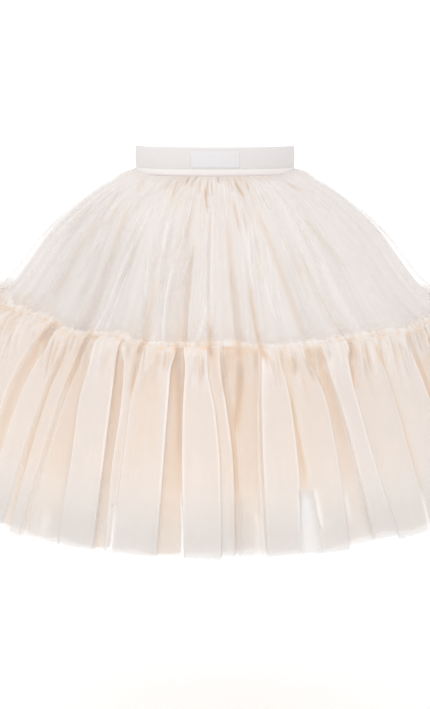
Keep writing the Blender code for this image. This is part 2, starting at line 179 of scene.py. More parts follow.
# Creases run from a fall to another, through three angles, with a half-width in degrees and a height in
# millimetres. A crease of negative height is a groove.
Crease = namedtuple("Crease", "start end first middle last width height")
UPPER_CREASES = [Crease(*row) for row in (
    (0.08, 0.55, -51.8, -46.0, -43.4, 0.4, 1.3), (0.2, 1.0, -42.5, -37.4, -36.0, 0.4, 0.9),
    (0.22, 0.95, -52.0, -49.8, -50.3, 1.6, -2.5), (0.66, 0.86, -51.0, -50.5, -49.9, 0.4, -2.0),
    (0.12, 0.38, -48.6, -45.6, -45.0, 0.9, -2.0), (0.43, 0.7, -41.8, -42.2, -43.0, 0.35, -2.0),
    (0.16, 0.48, -41.4, -37.5, -35.2, 0.8, -2.5), (0.42, 1.0, -35.6, -35.0, -34.5, 1.2, -2.5),
    (0.2, 0.45, -65.0, -62.6, -61.0, 1.4, -2.5), (0.15, 0.9, -60.0, -59.5, -59.3, 0.8, 0.6),
    (0.18, 0.3, -75.0, -72.0, -70.0, 1.5, -1.5), (0.67, 0.79, -39.1, -39.6, -40.3, 0.3, -1.8),
    (0.18, 0.48, -28.2, -27.7, -27.9, 0.35, 2.0), (0.4, 1.0, -28.5, -29.2, -29.7, 0.45, 2.2),
    (0.25, 0.47, -30.6, -30.3, -29.7, 0.3, -1.8), (0.33, 0.75, -27.2, -27.5, -28.0, 0.42, -2.0),
    (0.58, 1.0, -26.6, -27.1, -27.0, 0.35, 1.8), (0.34, 0.8, -22.9, -20.8, -19.2, 0.3, 1.5),
    (0.72, 1.0, -19.4, -18.3, -17.1, 0.4, -2.5), (0.25, 0.5, -18.5, -17.8, -16.9, 0.5, 1.2),
    (0.42, 0.72, -16.9, -16.2, -15.5, 1.0, -1.2), (0.38, 0.56, -16.1, -15.2, -14.0, 0.35, 1.2),
    (0.06, 0.56, -10.2, -10.9, -12.9, 0.32, 3.0), (0.5, 1.0, -12.5, -13.4, -11.9, 0.32, 3.0),
    (0.22, 0.42, -9.9, -10.2, -9.9, 0.5, -2.0), (0.38, 0.7, -7.0, -8.8, -10.8, 0.3, 2.2),
    (0.37, 1.0, -7.1, -7.7, -6.7, 0.5, -3.5), (0.72, 1.0, -6.9, -6.6, -6.2, 0.25, 2.0),
    (0.05, 0.21, -5.4, -4.3, -3.0, 0.5, -4.0), (0.02, 0.12, -2.2, -1.6, -1.0, 0.5, -3.0),
    (0.01, 0.11, -9.4, -8.4, -7.2, 0.4, -2.5), (0.15, 0.92, -1.8, -1.9, -1.6, 0.3, -2.4),
    (0.13, 0.87, -1.0, -1.1, -1.0, 0.35, 2.0), (0.75, 1.0, -2.1, -3.2, -4.7, 0.35, 2.0),
    (0.86, 1.0, -0.9, -0.9, -0.9, 0.5, -4.0), (0.0, 0.05, -18.3, -17.5, -16.7, 0.6, -3.5),
    (0.01, 0.16, -23.0, -21.6, -19.5, 0.6, -3.0), (0.03, 0.09, -27.5, -27.3, -27.0, 0.8, -2.5),
    (0.0, 0.04, 1.8, 2.1, 2.4, 0.6, -3.0), (0.01, 0.1, 9.7, 9.3, 8.7, 0.5, -2.5),
    (0.03, 0.13, 12.0, 12.9, 13.9, 0.8, -4.5), (0.01, 0.09, 20.0, 18.5, 17.3, 0.5, -2.5),
    (0.14, 0.36, 8.4, 8.9, 9.3, 0.4, -3.0), (0.18, 0.34, 12.1, 11.9, 11.6, 0.35, -2.5),
    (0.22, 1.0, 4.8, 5.3, 6.2, 0.6, -2.0), (0.2, 0.7, 13.2, 11.4, 10.4, 0.3, 1.2),
    (0.18, 0.96, 14.0, 14.2, 16.9, 0.28, 1.5), (0.32, 0.68, 14.6, 14.1, 14.4, 0.5, -2.5),
    (0.4, 0.8, 17.8, 16.8, 15.3, 0.35, 0.8), (0.15, 1.0, 17.3, 20.1, 23.0, 0.7, -2.6),
    (0.35, 0.9, 23.1, 24.6, 26.0, 0.35, 1.0), (0.38, 1.0, 28.2, 30.0, 32.0, 0.45, -3.2),
    (0.5, 1.0, 27.8, 29.1, 29.9, 0.45, 0.6), (0.43, 0.66, 25.2, 26.2, 27.2, 0.6, -1.5),
    (0.1, 0.2, 23.0, 23.3, 23.6, 0.8, -2.0), (0.32, 0.6, 33.2, 34.2, 35.8, 0.45, -2.2),
    (0.38, 1.0, 32.9, 35.1, 36.6, 0.7, 1.1), (0.48, 1.0, 10.2, 10.1, 10.6, 0.4, -1.6),
    (0.5, 1.0, 5.0, 5.6, 5.8, 0.9, -2.0), (0.45, 1.0, 8.9, 8.5, 7.8, 0.35, 0.9),
    (0.22, 0.68, 36.6, 41.0, 43.6, 0.8, -2.6), (0.04, 0.11, 46.5, 47.4, 49.0, 1.2, -3.0),
    (0.0, 0.11, -53.5, -46.5, -41.5, 0.7, -2.5), (0.8, 1.0, 57.0, 56.7, 56.3, 0.7, -2.0),
    (0.2, 1.0, -79.5, -81.5, -83.0, 0.9, 2.0), (0.3, 1.0, -84.5, -86.0, -86.5, 0.8, 2.0),
    (0.3, 1.0, 79.0, 81.5, 82.5, 0.9, 2.0), (0.25, 1.0, 85.0, 86.0, 87.0, 0.8, 2.0),
)]

# Where the net is painted paler (light above 0) or darker, and warmer (warm above 0) or cooler:
# partly the layers of net, partly painted shade in valleys and in gathers under the band and the seam, and
# painted light on ridges, panels and slits
Tone = namedtuple("Tone", "start end first middle last width light warm")
UPPER_TONES = [Tone(*row) for row in (
    (-0.02, 0.07, -12.6, -13.2, -13.9, 0.75, -1.1, 1.2), (0.0, 0.13, -4.6, -4.0, -3.2, 0.55, -1.0, 1.0),
    (-0.01, 0.12, 11.4, 12.9, 14.3, 0.9, -0.45, 0.5), (-0.03, 0.05, 1.8, 1.8, 1.8, 0.5, -0.7, 0.7),
    (-0.03, 0.08, 7.8, 8.0, 8.3, 0.45, -0.6, 0.6), (-0.03, 0.06, 15.2, 15.7, 16.2, 0.5, -0.7, 0.7),
    (-0.02, 0.13, -18.4, -19.0, -20.4, 0.7, -0.7, 0.3), (-0.02, 0.1, -23.2, -23.6, -24.2, 0.6, -0.6, 0.4),
    (-0.02, 0.1, -20.8, -21.2, -21.8, 0.5, -0.5, 0.4), (-0.02, 0.13, -28.6, -29.2, -30.8, 1.2, -0.6, 0.1),
    (-0.02, 0.12, -1.4, -1.4, -1.4, 0.5, 0.7, 0.0), (-0.02, 0.1, -6.5, -6.5, -6.6, 0.5, 0.7, 0.0),
    (-0.02, 0.04, -10.0, -10.0, -10.2, 0.5, 0.6, 0.0), (-0.02, 0.04, 11.0, 11.2, 11.4, 0.4, 0.7, 0.0),
    (0.06, 0.55, -57.5, -49.0, -47.6, 1.2, -0.8, 0.3), (0.42, 1.05, -50.6, -49.9, -48.2, 1.8, -0.5, 0.3),
    (0.55, 0.98, -63.5, -63.0, -62.5, 4.5, 0.15, -0.05), (0.18, 0.58, -65.0, -62.6, -61.6, 1.5, -0.6, 0.1),
    (0.84, 1.1, -62.0, -58.0, -54.0, 6.0, 0.0, 0.25), (0.22, 0.98, -41.8, -39.4, -38.6, 1.2, -0.6, 0.0),
    (0.12, 0.98, -41.5, -37.6, -36.6, 0.7, 0.55, 0.0), (0.35, 1.05, -34.8, -34.3, -33.8, 0.8, -0.5, 0.12),
    (0.3, 1.0, -30.6, -31.0, -31.4, 0.7, -0.5, 0.05), (0.25, 0.85, -28.3, -27.8, -27.6, 0.4, -0.25, 0.2),
    (0.15, 0.9, -24.8, -23.6, -22.4, 2.2, 0.15, -0.06), (0.15, 0.85, -18.6, -17.6, -17.0, 0.8, 0.3, 0.0),
    (0.6, 1.08, -17.9, -17.3, -16.7, 0.45, -0.8, 1.0), (0.2, 0.98, -16.6, -14.9, -14.1, 1.1, -0.75, -0.03),
    (0.3, 0.98, -9.6, -9.4, -9.6, 1.4, -0.45, 0.1), (0.82, 1.08, -9.0, -8.6, -8.4, 1.3, -0.3, 0.45),
    (0.3, 1.05, -7.2, -7.2, -6.9, 0.25, -0.5, 0.5), (0.05, 0.24, -4.9, -3.7, -2.8, 0.45, -0.8, 0.7),
    (0.8, 1.08, -1.9, -1.4, -0.9, 0.4, -0.5, 0.8), (0.3, 1.0, 2.4, 3.7, 4.6, 0.4, 0.7, 0.0),
    (0.55, 1.05, 5.0, 5.5, 6.0, 0.7, -0.15, 0.1), (0.1, 0.32, 8.4, 8.8, 9.1, 0.6, -0.5, 0.4),
    (0.5, 1.0, 8.5, 8.6, 8.3, 0.8, -0.35, 0.0), (0.62, 1.06, 10.2, 10.4, 11.0, 0.5, -0.9, 1.2),
    (0.15, 0.75, 12.3, 13.7, 15.1, 0.5, 0.6, 0.0), (0.12, 0.35, 15.0, 14.7, 14.4, 0.35, -0.4, 0.35),
    (0.15, 0.95, 16.6, 19.2, 21.8, 0.7, 0.5, 0.0), (0.15, 0.95, 17.9, 20.6, 23.4, 0.45, -0.5, 0.35),
    (0.4, 0.98, 22.0, 23.6, 25.2, 1.1, -0.45, 0.0), (0.45, 0.95, 25.6, 26.9, 28.1, 0.5, 0.35, 0.0),
    (0.5, 1.02, 28.3, 29.8, 31.9, 0.45, -0.65, 0.3), (0.3, 1.0, 35.0, 36.0, 37.0, 0.7, 0.2, 0.0),
    (0.2, 0.72, 36.4, 40.6, 43.6, 0.5, -0.35, 0.1), (0.25, 0.95, 46.0, 47.0, 48.0, 1.4, 0.25, 0.0),
    (0.0, 0.1, 46.5, 47.5, 49.0, 1.0, -0.5, 0.3), (0.55, 1.02, 54.0, 55.0, 56.0, 1.5, -0.2, 0.0),
)]
FLOUNCE_TONES = [Tone(*row) for row in (
    (-0.04, 0.09, -41.2, -42.0, -43.4, 1.1, -0.9, 1.3), (-0.04, 0.06, -39.6, -40.2, -41.0, 0.8, -0.5, 0.8),
    (-0.04, 0.09, -30.2, -30.4, -31.2, 0.8, -0.9, 1.3), (0.02, 0.26, -30.4, -31.4, -33.2, 0.7, -0.6, 0.8),
    (-0.05, 0.05, -16.0, -16.5, -17.0, 0.75, -0.9, 1.4), (-0.04, 0.06, -9.2, -8.6, -8.3, 0.6, -0.8, 1.2),
    (0.0, 0.6, -9.6, -9.4, -9.3, 0.6, 0.4, -0.3), (-0.02, 0.6, -8.4, -7.3, -6.9, 0.6, -1.3, 0.8),
    (-0.04, 0.05, -1.6, -1.2, -0.8, 0.7, -0.7, 1.2), (-0.04, 0.05, 5.2, 5.3, 5.4, 0.8, -0.6, 1.2),
    (0.01, 0.45, 5.4, 4.9, 3.5, 0.8, -1.0, 1.3), (0.02, 0.2, 7.6, 7.6, 7.6, 1.2, 0.3, -0.2),
    (-0.06, 0.06, 9.8, 10.4, 11.1, 0.65, -0.8, 1.3), (0.02, 0.1, 11.6, 12.2, 12.6, 0.4, -0.3, 0.5),
    (0.02, 0.14, 16.2, 16.3, 16.6, 0.5, -0.4, 0.6), (-0.03, 0.12, 21.0, 21.6, 22.4, 0.5, -0.2, 0.4),
    (0.0, 0.1, 23.9, 24.2, 24.8, 0.5, -0.5, 0.7), (0.04, 0.55, 23.2, 24.9, 26.4, 1.0, -0.4, 0.5),
    (-0.02, 0.1, 31.8, 31.4, 30.9, 0.8, -0.9, 1.3), (0.06, 0.26, 31.2, 30.9, 30.9, 0.6, -0.4, 0.6),
    (0.02, 0.16, 38.2, 38.6, 39.2, 0.6, -0.6, 0.8), (0.06, 0.26, -16.9, -17.4, -17.6, 0.5, -0.5, 0.8),
    (0.03, 0.5, -18.6, -18.9, -19.2, 0.4, 0.4, -0.3), (0.04, 0.7, -14.2, -14.8, -15.5, 1.0, -0.12, 0.2),
    (0.04, 0.6, -12.8, -12.3, -11.8, 0.8, -0.15, 0.22), (0.0, 0.18, -3.6, -3.3, -3.0, 0.4, -0.4, 0.4),
    (0.0, 0.2, -4.6, -4.6, -4.6, 0.4, 0.4, -0.2), (0.0, 0.22, -2.4, -2.2, -1.9, 0.35, 0.4, -0.2),
    (0.06, 0.72, 15.4, 16.3, 17.6, 0.45, -0.6, 0.6), (0.02, 0.3, 18.4, 18.8, 19.4, 0.5, -0.2, 0.25),
    (0.02, 0.25, -25.4, -25.6, -25.8, 0.8, 0.3, -0.2), (0.02, 0.16, -24.0, -24.0, -24.1, 0.4, -0.3, 0.4),
    (0.02, 0.2, -36.9, -37.6, -38.8, 0.5, -0.4, 0.5), (0.02, 0.2, -34.2, -34.8, -35.8, 0.4, -0.4, 0.5),
    (0.02, 0.14, 34.4, 34.8, 35.3, 0.5, -0.3, 0.4), (0.02, 0.14, 43.5, 43.8, 44.2, 0.5, -0.3, 0.4),
    (0.12, 1.0, 50.0, 52.0, 55.0, 2.0, -0.3, 0.35), (-0.02, 0.16, 49.5, 51.0, 53.0, 3.0, 0.5, -0.7),
    (0.68, 1.1, 4.8, 5.0, 5.2, 1.8, -0.8, 0.2), (0.68, 1.1, -8.2, -8.0, -7.8, 1.6, -1.0, 0.2),
    (0.8, 1.1, -31.0, -31.5, -32.0, 1.5, -0.6, 0.1), (0.6, 0.96, -21.1, -21.0, -20.9, 0.9, -0.8, 0.1),
    (0.1, 1.0, 39.2, 41.3, 43.3, 0.6, -0.5, 0.3), (0.1, 1.0, -36.3, -38.6, -41.0, 0.6, -0.7, 0.5),
    (0.35, 1.05, 3.4, 4.1, 4.3, 0.6, -0.8, 0.6), (0.0, 0.4, 47.5, 48.5, 50.0, 1.4, 0.3, -0.3),
    (0.74, 1.15, -18.9, -18.8, -18.7, 0.45, 1.0, -0.6), (0.68, 0.9, 18.8, 19.2, 19.7, 0.4, 1.4, -0.6),
    (0.72, 0.88, 25.0, 25.15, 25.3, 0.4, 1.4, -0.6), (0.78, 1.15, 42.2, 42.6, 43.2, 0.6, 1.4, -0.6),
)]

# Rows of the flounce's nets by fall, and of its heading by how far up it they lie
FLOUNCE_ROWS = np.concatenate([
    np.linspace(0.0, 0.05, 8), np.linspace(0.065, 0.24, 13),
    np.linspace(0.27, 0.90, 18), np.linspace(0.92, 1.0, 7),
])
HEADING_RISES = (1.0, 0.8, 0.55, 0.3, 0.12)

# The flounce's creases, most of them just under its stitches
FLOUNCE_CREASES = [Crease(*row) for row in (
    (0.01, 0.2, -4.7, -5.4, -6.1, 0.3, 2.5), (0.02, 0.2, -3.1, -3.2, -3.6, 0.28, 2.5),
    (0.03, 0.15, -4.2, -4.3, -4.4, 0.3, -3.0), (0.04, 0.15, -2.5, -2.6, -2.5, 0.25, -2.5),
    (0.03, 0.27, -13.1, -15.2, -17.1, 0.35, 2.5), (0.02, 0.1, -12.2, -12.3, -12.4, 0.45, -2.5),
    (0.08, 0.42, -14.0, -15.0, -15.5, 1.0, -1.5), (0.04, 0.16, -39.0, -39.1, -39.4, 0.6, -1.8),
    (0.02, 0.16, -36.2, -36.0, -35.8, 0.35, 4.0), (0.04, 0.16, -52.5, -53.4, -54.4, 0.5, 2.0),
    (0.01, 0.13, -49.5, -50.4, -51.6, 0.5, 1.5), (0.01, 0.11, -24.4, -24.2, -23.9, 0.3, 2.0),
    (0.06, 0.2, -25.0, -25.0, -24.9, 0.5, -1.8), (0.02, 0.31, 4.6, 4.2, 3.2, 0.45, 2.6),
    (0.05, 0.33, 5.5, 5.6, 3.5, 0.4, -3.0), (0.01, 0.12, 6.6, 6.7, 6.8, 0.3, 1.8),
    (0.01, 0.12, 7.7, 7.8, 7.9, 0.3, 1.8), (0.02, 0.42, 11.3, 10.6, 10.3, 0.75, 2.0),
    (0.03, 0.14, 12.1, 12.2, 12.3, 0.25, -2.2), (0.04, 0.2, 12.8, 12.9, 13.1, 0.3, -1.5),
    (0.02, 0.16, 16.3, 16.3, 16.6, 0.4, 1.5), (0.03, 0.1, 17.1, 17.2, 17.4, 0.4, -2.8),
    (0.03, 0.18, 19.8, 20.8, 21.9, 0.42, -5.0), (0.03, 0.18, 22.5, 22.4, 22.1, 0.35, 4.0),
    (0.05, 0.27, 25.6, 25.8, 26.8, 0.4, 1.5), (0.07, 0.36, 33.9, 34.7, 35.9, 0.5, -3.0),
    (0.02, 0.12, 35.6, 36.0, 36.6, 0.35, 1.8), (0.03, 0.32, 41.5, 42.0, 42.8, 0.5, 2.0),
    (0.04, 0.3, 44.0, 44.5, 45.0, 0.8, 1.5), (0.04, 0.15, 45.9, 46.3, 46.5, 0.5, -2.4),
)]

# Where the nets gape or wear thin near the hem: falls, the angles of both edges, and how much net is left
# of the outer and of the under net
Thin = namedtuple("Thin", "start end left_first left_last right_first right_last outer under")
THIN_PLACES = (
    Thin(0.69, 1.05, 15.6, 15.3, 18.3, 19.6, 1.25, 0.0),
    Thin(0.77, 1.05, -19.05, -19.15, -18.5, -18.25, 0.0, 0.0),
    Thin(0.74, 1.05, -6.25, -5.95, -5.9, -5.35, 0.0, 0.0),
    Thin(0.85, 1.05, -34.0, -34.3, -31.8, -31.6, 0.85, 0.6),
    Thin(0.76, 1.05, 7.3, 7.2, 8.7, 9.1, 0.85, 0.6),
)

# Creases scattered over a half: how many, and the ranges of their starts, lengths, half-widths in degrees
# and heights in millimetres. A lean is how far they may run aside, in degrees.
Scatter = namedtuple("Scatter", "count starts lengths widths heights lean")
UPPER_GATHERS = Scatter(100, (-0.03, 0.01), (0.10, 0.40), (0.28, 0.48), (0.5, 1.2), 0.2)
UPPER_TICKS = Scatter(76, (-0.012, 0.0), (0.02, 0.05), (0.28, 0.50), (0.8, 2.4), 0.3)
UPPER_LINES = Scatter(44, (0.0, 0.25), (0.6, 1.3), (0.55, 1.3), (0.3, 0.8), 0.5)
FLOUNCE_GATHERS = Scatter(150, (-0.02, 0.01), (0.05, 0.28), (0.22, 0.55), (1.2, 3.6), 0.6)
FLOUNCE_WAVES = Scatter(60, (0.05, 0.5), (0.3, 0.7), (0.5, 1.6), (0.4, 1.2), 1.2)
LINING_RIPPLES = Scatter(40, (0.1, 0.6), (0.4, 0.9), (1.0, 2.4), (0.4, 1.4), 2.0)

# Sizes of the stitches, in metres
Stitch = namedtuple("Stitch", "length radius")
BAND_STITCH = Stitch(0.0017, 0.00028)
PATCH_STITCH = Stitch(0.0016, 0.00022)
SEAM_STITCH = Stitch(0.0026, 0.00035)


# Sums on arrays

def smooth_curve(places, values, at):
    """Values along a smooth curve through the given ones, which never swings past them."""
    x, y = np.asarray(places, float), np.asarray(values, float)
    width = np.diff(x).reshape(-1, *(1,) * (y.ndim - 1))
    rise = np.diff(y, axis=0) / width
    slope = np.zeros_like(y)
    slope[0], slope[-1] = rise[0], rise[-1]
    product = rise[:-1] * rise[1:]
    total = np.where(product > 0, rise[:-1] + rise[1:], 1.0)
    slope[1:-1] = np.where(product > 0, 2 * product / total, 0.0)
    at = np.clip(np.asarray(at, float), x[0], x[-1])
    i = np.clip(np.searchsorted(x, at) - 1, 0, len(x) - 2)
    h = x[i + 1] - x[i]
    s = (at - x[i]) / h
    if y.ndim > 1:
        h, s = h[..., None], s[..., None]
    ahead = s * s * (3 - 2 * s)
    return (
        y[i] * (1 - ahead) + y[i + 1] * ahead
        + slope[i] * h * s * (1 - s) ** 2 - slope[i + 1] * h * s * s * (1 - s)
    )


def ease(low, high, value):
    """0 below low, 1 above high, and smooth between."""
    s = np.clip((value - low) / (high - low), 0.0, 1.0)
    return s * s * (3 - 2 * s)


def unit(vectors):
    """The vectors at length 1."""
    return vectors / np.maximum(np.linalg.norm(vectors, axis=-1, keepdims=True), 1e-12)


def dice(sizes, piece, turn=0.0):
    """A piece's source of random numbers, which differs between front and back."""
    return np.random.default_rng(sizes.seed + SEEDS[piece] + (BACK_SEED if turn else 0))


def wander(rng, count, reach):
    """A smooth random line of so many values from about -1 to 1, whose bends are about reach values apart."""
    knots = rng.uniform(-1, 1, int(count / reach) + 4)
    return smooth_curve(np.arange(len(knots)), knots, np.linspace(0.5, len(knots) - 1.5, count))


class Tier:
    """The smooth shape of a tier before its folds: an oval that runs out and down from a start."""

    def __init__(self, half_widths, half_depths, side_drops, front_drops, shape, top):
        runs, self.drops = np.array(shape).T
        sizes = (half_widths, runs), (half_depths, runs), (side_drops, self.drops), (front_drops, self.drops)
        self.sizes = np.stack([start + (end - start) * share for (start, end), share in sizes], axis=-1)
        self.top = top
        self.last = 1.0

    def place(self, fall, angle):
        """Points at falls and angles."""
        fall, angle = np.broadcast_arrays(np.asarray(fall, float), np.asarray(angle, float))
        width, depth, side, front = np.moveaxis(smooth_curve(self.drops, self.sizes, fall), -1, 0)
        turn = np.radians(angle)
        share = np.sin(turn) ** 2
        drop = side * share + front * (1 - share)
        return np.stack([width * np.sin(turn), -depth * np.cos(turn), self.top - drop], axis=-1)

    def outward(self, fall, angle, step=0.01, turn=0.5):
        """Outward directions of the surface at falls and angles."""
        fall = np.clip(fall, step, self.last - step)
        down = self.place(fall + step, angle) - self.place(fall - step, angle)
        along = self.place(fall, angle + turn) - self.place(fall, angle - turn)
        return unit(np.cross(down, along))

    def over(self, fall, angle, height):
        """Points at falls and angles that stand so far out of the surface."""
        return self.place(fall, angle) + height[..., None] * self.outward(fall, angle)


class BothTiers(Tier):
    """The upper tier's surface and, past its end at a fall of 1, the flounce's."""

    def __init__(self, upper, flounce):
        self.upper, self.flounce, self.last = upper, flounce, 2.0

    def place(self, fall, angle):
        fall, angle = np.broadcast_arrays(np.asarray(fall, float), np.asarray(angle, float))
        above = self.upper.place(np.minimum(fall, 1), angle)
        below = self.flounce.place(np.maximum(fall - 1, 0), angle)
        return np.where((fall > 1)[..., None], below, above)


def seam_start(angles):
    """The flounce's fall at which its seam lies, at angles all round the skirt."""
    angles = np.mod(np.asarray(angles, float) + 90.0, 360.0) - 90.0
    places, drops = np.array(SEAM_SAGS).T
    return smooth_curve(places, drops, angles) / FLOUNCE_DROP


def crease_field(creases, falls, angles, blunt_end=0.985, of="height"):
    """A field that rises along creases to the value that each has, such as its height in millimetres. It
    fades in at a crease's start and out at its end, unless the crease runs on to the end of the cloth."""
    fade_in, fade_out = 0.22, 0.30
    field = np.zeros(np.broadcast(falls, angles).shape)
    for crease in creases:
        s = (falls - crease.start) / (crease.end - crease.start)
        bend = crease.middle - (crease.first + crease.last) / 2
        path = crease.first + (crease.last - crease.first) * s + 4 * bend * s * (1 - s)
        ends = ease(0.0, fade_in, s) * (1.0 if crease.end > blunt_end else ease(0.0, fade_out, 1 - s))
        ends = ends * ((s >= 0) & (s <= 1.0001))
        near = (angles - path) / crease.width
        field += getattr(crease, of) * ends * np.exp(-near * near)
    return field


def ridges_and_grooves(field, full=3.0):
    """How much of a ridge and how much of a groove there is, from 0 to 1 at a full height in millimetres."""
    return np.clip(field / full, 0, 1), np.clip(-field / full, 0, 1)


def tones(table, falls, angles):
    """How much paler and how much warmer a table of tones paints the net, with its painted light and shade.
    """
    return [crease_field(table, falls, angles, of=kind) for kind in ("light", "warm")]


def across_half(columns):
    """A half's angles from side seam to side seam, as one row."""
    return np.linspace(-90, 90, columns)[None, :]


def scattered(rng, scatter):
    """Many small creases at random places on a half."""
    made = []
    for place in np.linspace(-89, 89, scatter.count):
        first = place + rng.uniform(-0.5, 0.5) * 178 / scatter.count
        start = rng.uniform(*scatter.starts)
        made.append(Crease(
            start=start,
            end=start + rng.uniform(*scatter.lengths),
            first=first,
            middle=first + rng.uniform(-0.5, 0.5) * scatter.lean,
            last=first + rng.uniform(-1, 1) * scatter.lean,
            width=rng.uniform(*scatter.widths),
            height=rng.uniform(*scatter.heights) * rng.choice((-1, 1)),
        ))
    return made


def quads(grid):
    """The corners of every square between neighbours of a grid."""
    return np.stack([grid[:-1, :-1], grid[1:, :-1], grid[1:, 1:], grid[:-1, 1:]], axis=2)


# Cloth as meshes, and objects

def add_object(name, data):
    """A new object in the scene."""
    added = bpy.data.objects.new(name, data)
    bpy.context.scene.collection.objects.link(added)
    return added


def cloth_mesh(name, points, fields, material, closed=False):
    """A piece of cloth through a grid of points, with its fields by point and its cut laid flat as a UV map
    in metres, and that cut's width and length."""
    rows, columns = points.shape[:2]
    index = np.arange(rows * columns).reshape(rows, columns)
    if closed:
        index = np.concatenate([index, index[:, :1]], axis=1)
    mesh = bpy.data.meshes.new(name)
    mesh.from_pydata(points.reshape(-1, 3).tolist(), [], quads(index).reshape(-1, 4).tolist())
    for field, values in fields.items():
        layer = mesh.attributes.new(field, "FLOAT", "POINT")
        layer.data.foreach_set("value", np.broadcast_to(values, (rows, columns)).astype(np.float32).ravel())
    grid = np.concatenate([points, points[:, :1]], axis=1) if closed else points
    across = np.linalg.norm(np.diff(grid, axis=1), axis=2).max(axis=0)
    down = np.linalg.norm(np.diff(grid, axis=0), axis=2).mean(axis=1)
    u = np.concatenate([[0.0], np.cumsum(across)])
    v = -np.concatenate([[0.0], np.cumsum(down)])
    cut = np.stack(np.broadcast_arrays(u[None, :], v[:, None]), axis=-1)
    mesh.uv_layers.new(name="cut").uv.foreach_set("vector", quads(cut).astype(np.float32).ravel())
    mesh.materials.append(material)
    mesh.shade_smooth()
    return add_object(name, mesh), (float(u[-1]), float(-v[-1]))


def sew_on(piece, slot, *replaced):
    """Fixes a piece to the part's one body, in place of the plain solids that it stands for."""
    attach(piece, BODY)
    if replaced:
        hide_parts(*replaced)
    return piece


def stitch_row(name, points, directions, outs, stitch, material):
    """Short rounded stitches, one at each point, along its direction and a little out from the cloth."""
    around = np.radians([45, 135, 225, 315])
    # rings along a stitch: their place as a share of its length, and their width as a share of its middle's
    ends = ((-0.5, 0.35), (-0.28, 1.0), (0.28, 1.0), (0.5, 0.35))
    vertices, faces = [], []
    for point, along, out in zip(points, directions, outs):
        side = np.cross(along, out)
        first = len(vertices)
        for place, share in ends:
            middle = point + along * stitch.length * place + out * stitch.radius * (share - 0.35)
            for a in around:
                vertices.append(middle + stitch.radius * share * (side * math.cos(a) + out * math.sin(a)))
        for ring in range(len(ends) - 1):
            for k in range(4):
                a, b = first + ring * 4 + k, first + ring * 4 + (k + 1) % 4
                faces.append((a, b, b + 4, a + 4))
        faces.append((first + 3, first + 2, first + 1, first))
        last = first + 4 * (len(ends) - 1)
        faces.append((last, last + 1, last + 2, last + 3))
    mesh = bpy.data.meshes.new(name)
    mesh.from_pydata([tuple(v) for v in vertices], [], faces)
    mesh.materials.append(material)
    mesh.shade_smooth()
    return add_object(name, mesh)


# Finishes

class Signal:
    """A shader node's output, so that sums of outputs read as arithmetic."""

    def __init__(self, socket):
        self.socket = socket

    def math(self, operation, first, second=0.0):
        node = self.socket.id_data.nodes.new("ShaderNodeMath")
        node.operation = operation
        for socket, value in zip(node.inputs, (first, second)):
            feed(socket, value)
        return Signal(node.outputs[0])

    def __add__(self, other):
        return self.math("ADD", self, other)

    def __radd__(self, other):
        return self.math("ADD", other, self)

    def __sub__(self, other):
        return self.math("SUBTRACT", self, other)

    def __rsub__(self, other):
        return self.math("SUBTRACT", other, self)

    def __mul__(self, other):
        return self.math("MULTIPLY", self, other)

    def __rmul__(self, other):
        return self.math("MULTIPLY", other, self)

    def cosine(self):
        return self.math("COSINE", self)

    def limited(self):
        """The value kept from 0 to 1."""
        return self.math("MINIMUM", self.math("MAXIMUM", self, 0.0), 1.0)


def feed(socket, value):
    """Links a signal to a socket, or sets the socket's own value."""
    if isinstance(value, Signal):
        socket.id_data.links.new(value.socket, socket)
    else:
        socket.default_value = value


class Finish:
    """A material whose nodes all come from one method."""

    def __init__(self, name):
        self.material = bpy.data.materials.new(name)
        self.material.use_nodes = True
        self.tree = self.material.node_tree
        self.tree.nodes.clear()

    def node(self, kind, settings=None, sockets=None, output=0):
        """A node of a type, with its settings and then the values or links of its sockets."""
        node = self.tree.nodes.new(kind)
        for name, value in (settings or {}).items():
            setattr(node, name, value)
        for name, value in (sockets or {}).items():
            feed(node.inputs[name], value)
        return Signal(node.outputs[output]) if node.outputs else node

    def field(self, name):
        """A value that the cloth carries by point."""
        return self.node("ShaderNodeAttribute", {"attribute_name": name}, output=2)

    def cut(self):
        """Places on the flat cut, in metres: as one signal, and along and down it as two."""
        place = self.node("ShaderNodeUVMap", {"uv_map": "cut"})
        x = self.node("ShaderNodeSeparateXYZ", None, {0: place})
        return place, x, Signal(x.socket.node.outputs[1])

    def blend(self, first, second, share):
        """Two colours mixed, each a signal or red, green and blue."""
        first, second = (
            colour if isinstance(colour, Signal) else (*colour, 1.0) for colour in (first, second)
        )
        return self.node("ShaderNodeMix", {"data_type": "RGBA"}, {0: share, 6: first, 7: second}, output=2)

    def noise(self, place, size, detail=2.0):
        """Soft random values from 0 to 1 whose patches are about the given size across, in metres."""
        return self.node("ShaderNodeTexNoise", None, {"Vector": place, "Scale": 1 / size, "Detail": detail})

    def surface(self, shader):
        """The finished material."""
        self.node("ShaderNodeOutputMaterial", None, {"Surface": shader})
        return self.material


def lighter(colour, times):
    """A colour made paler."""
    return [min(1.0, part * times) for part in colour]


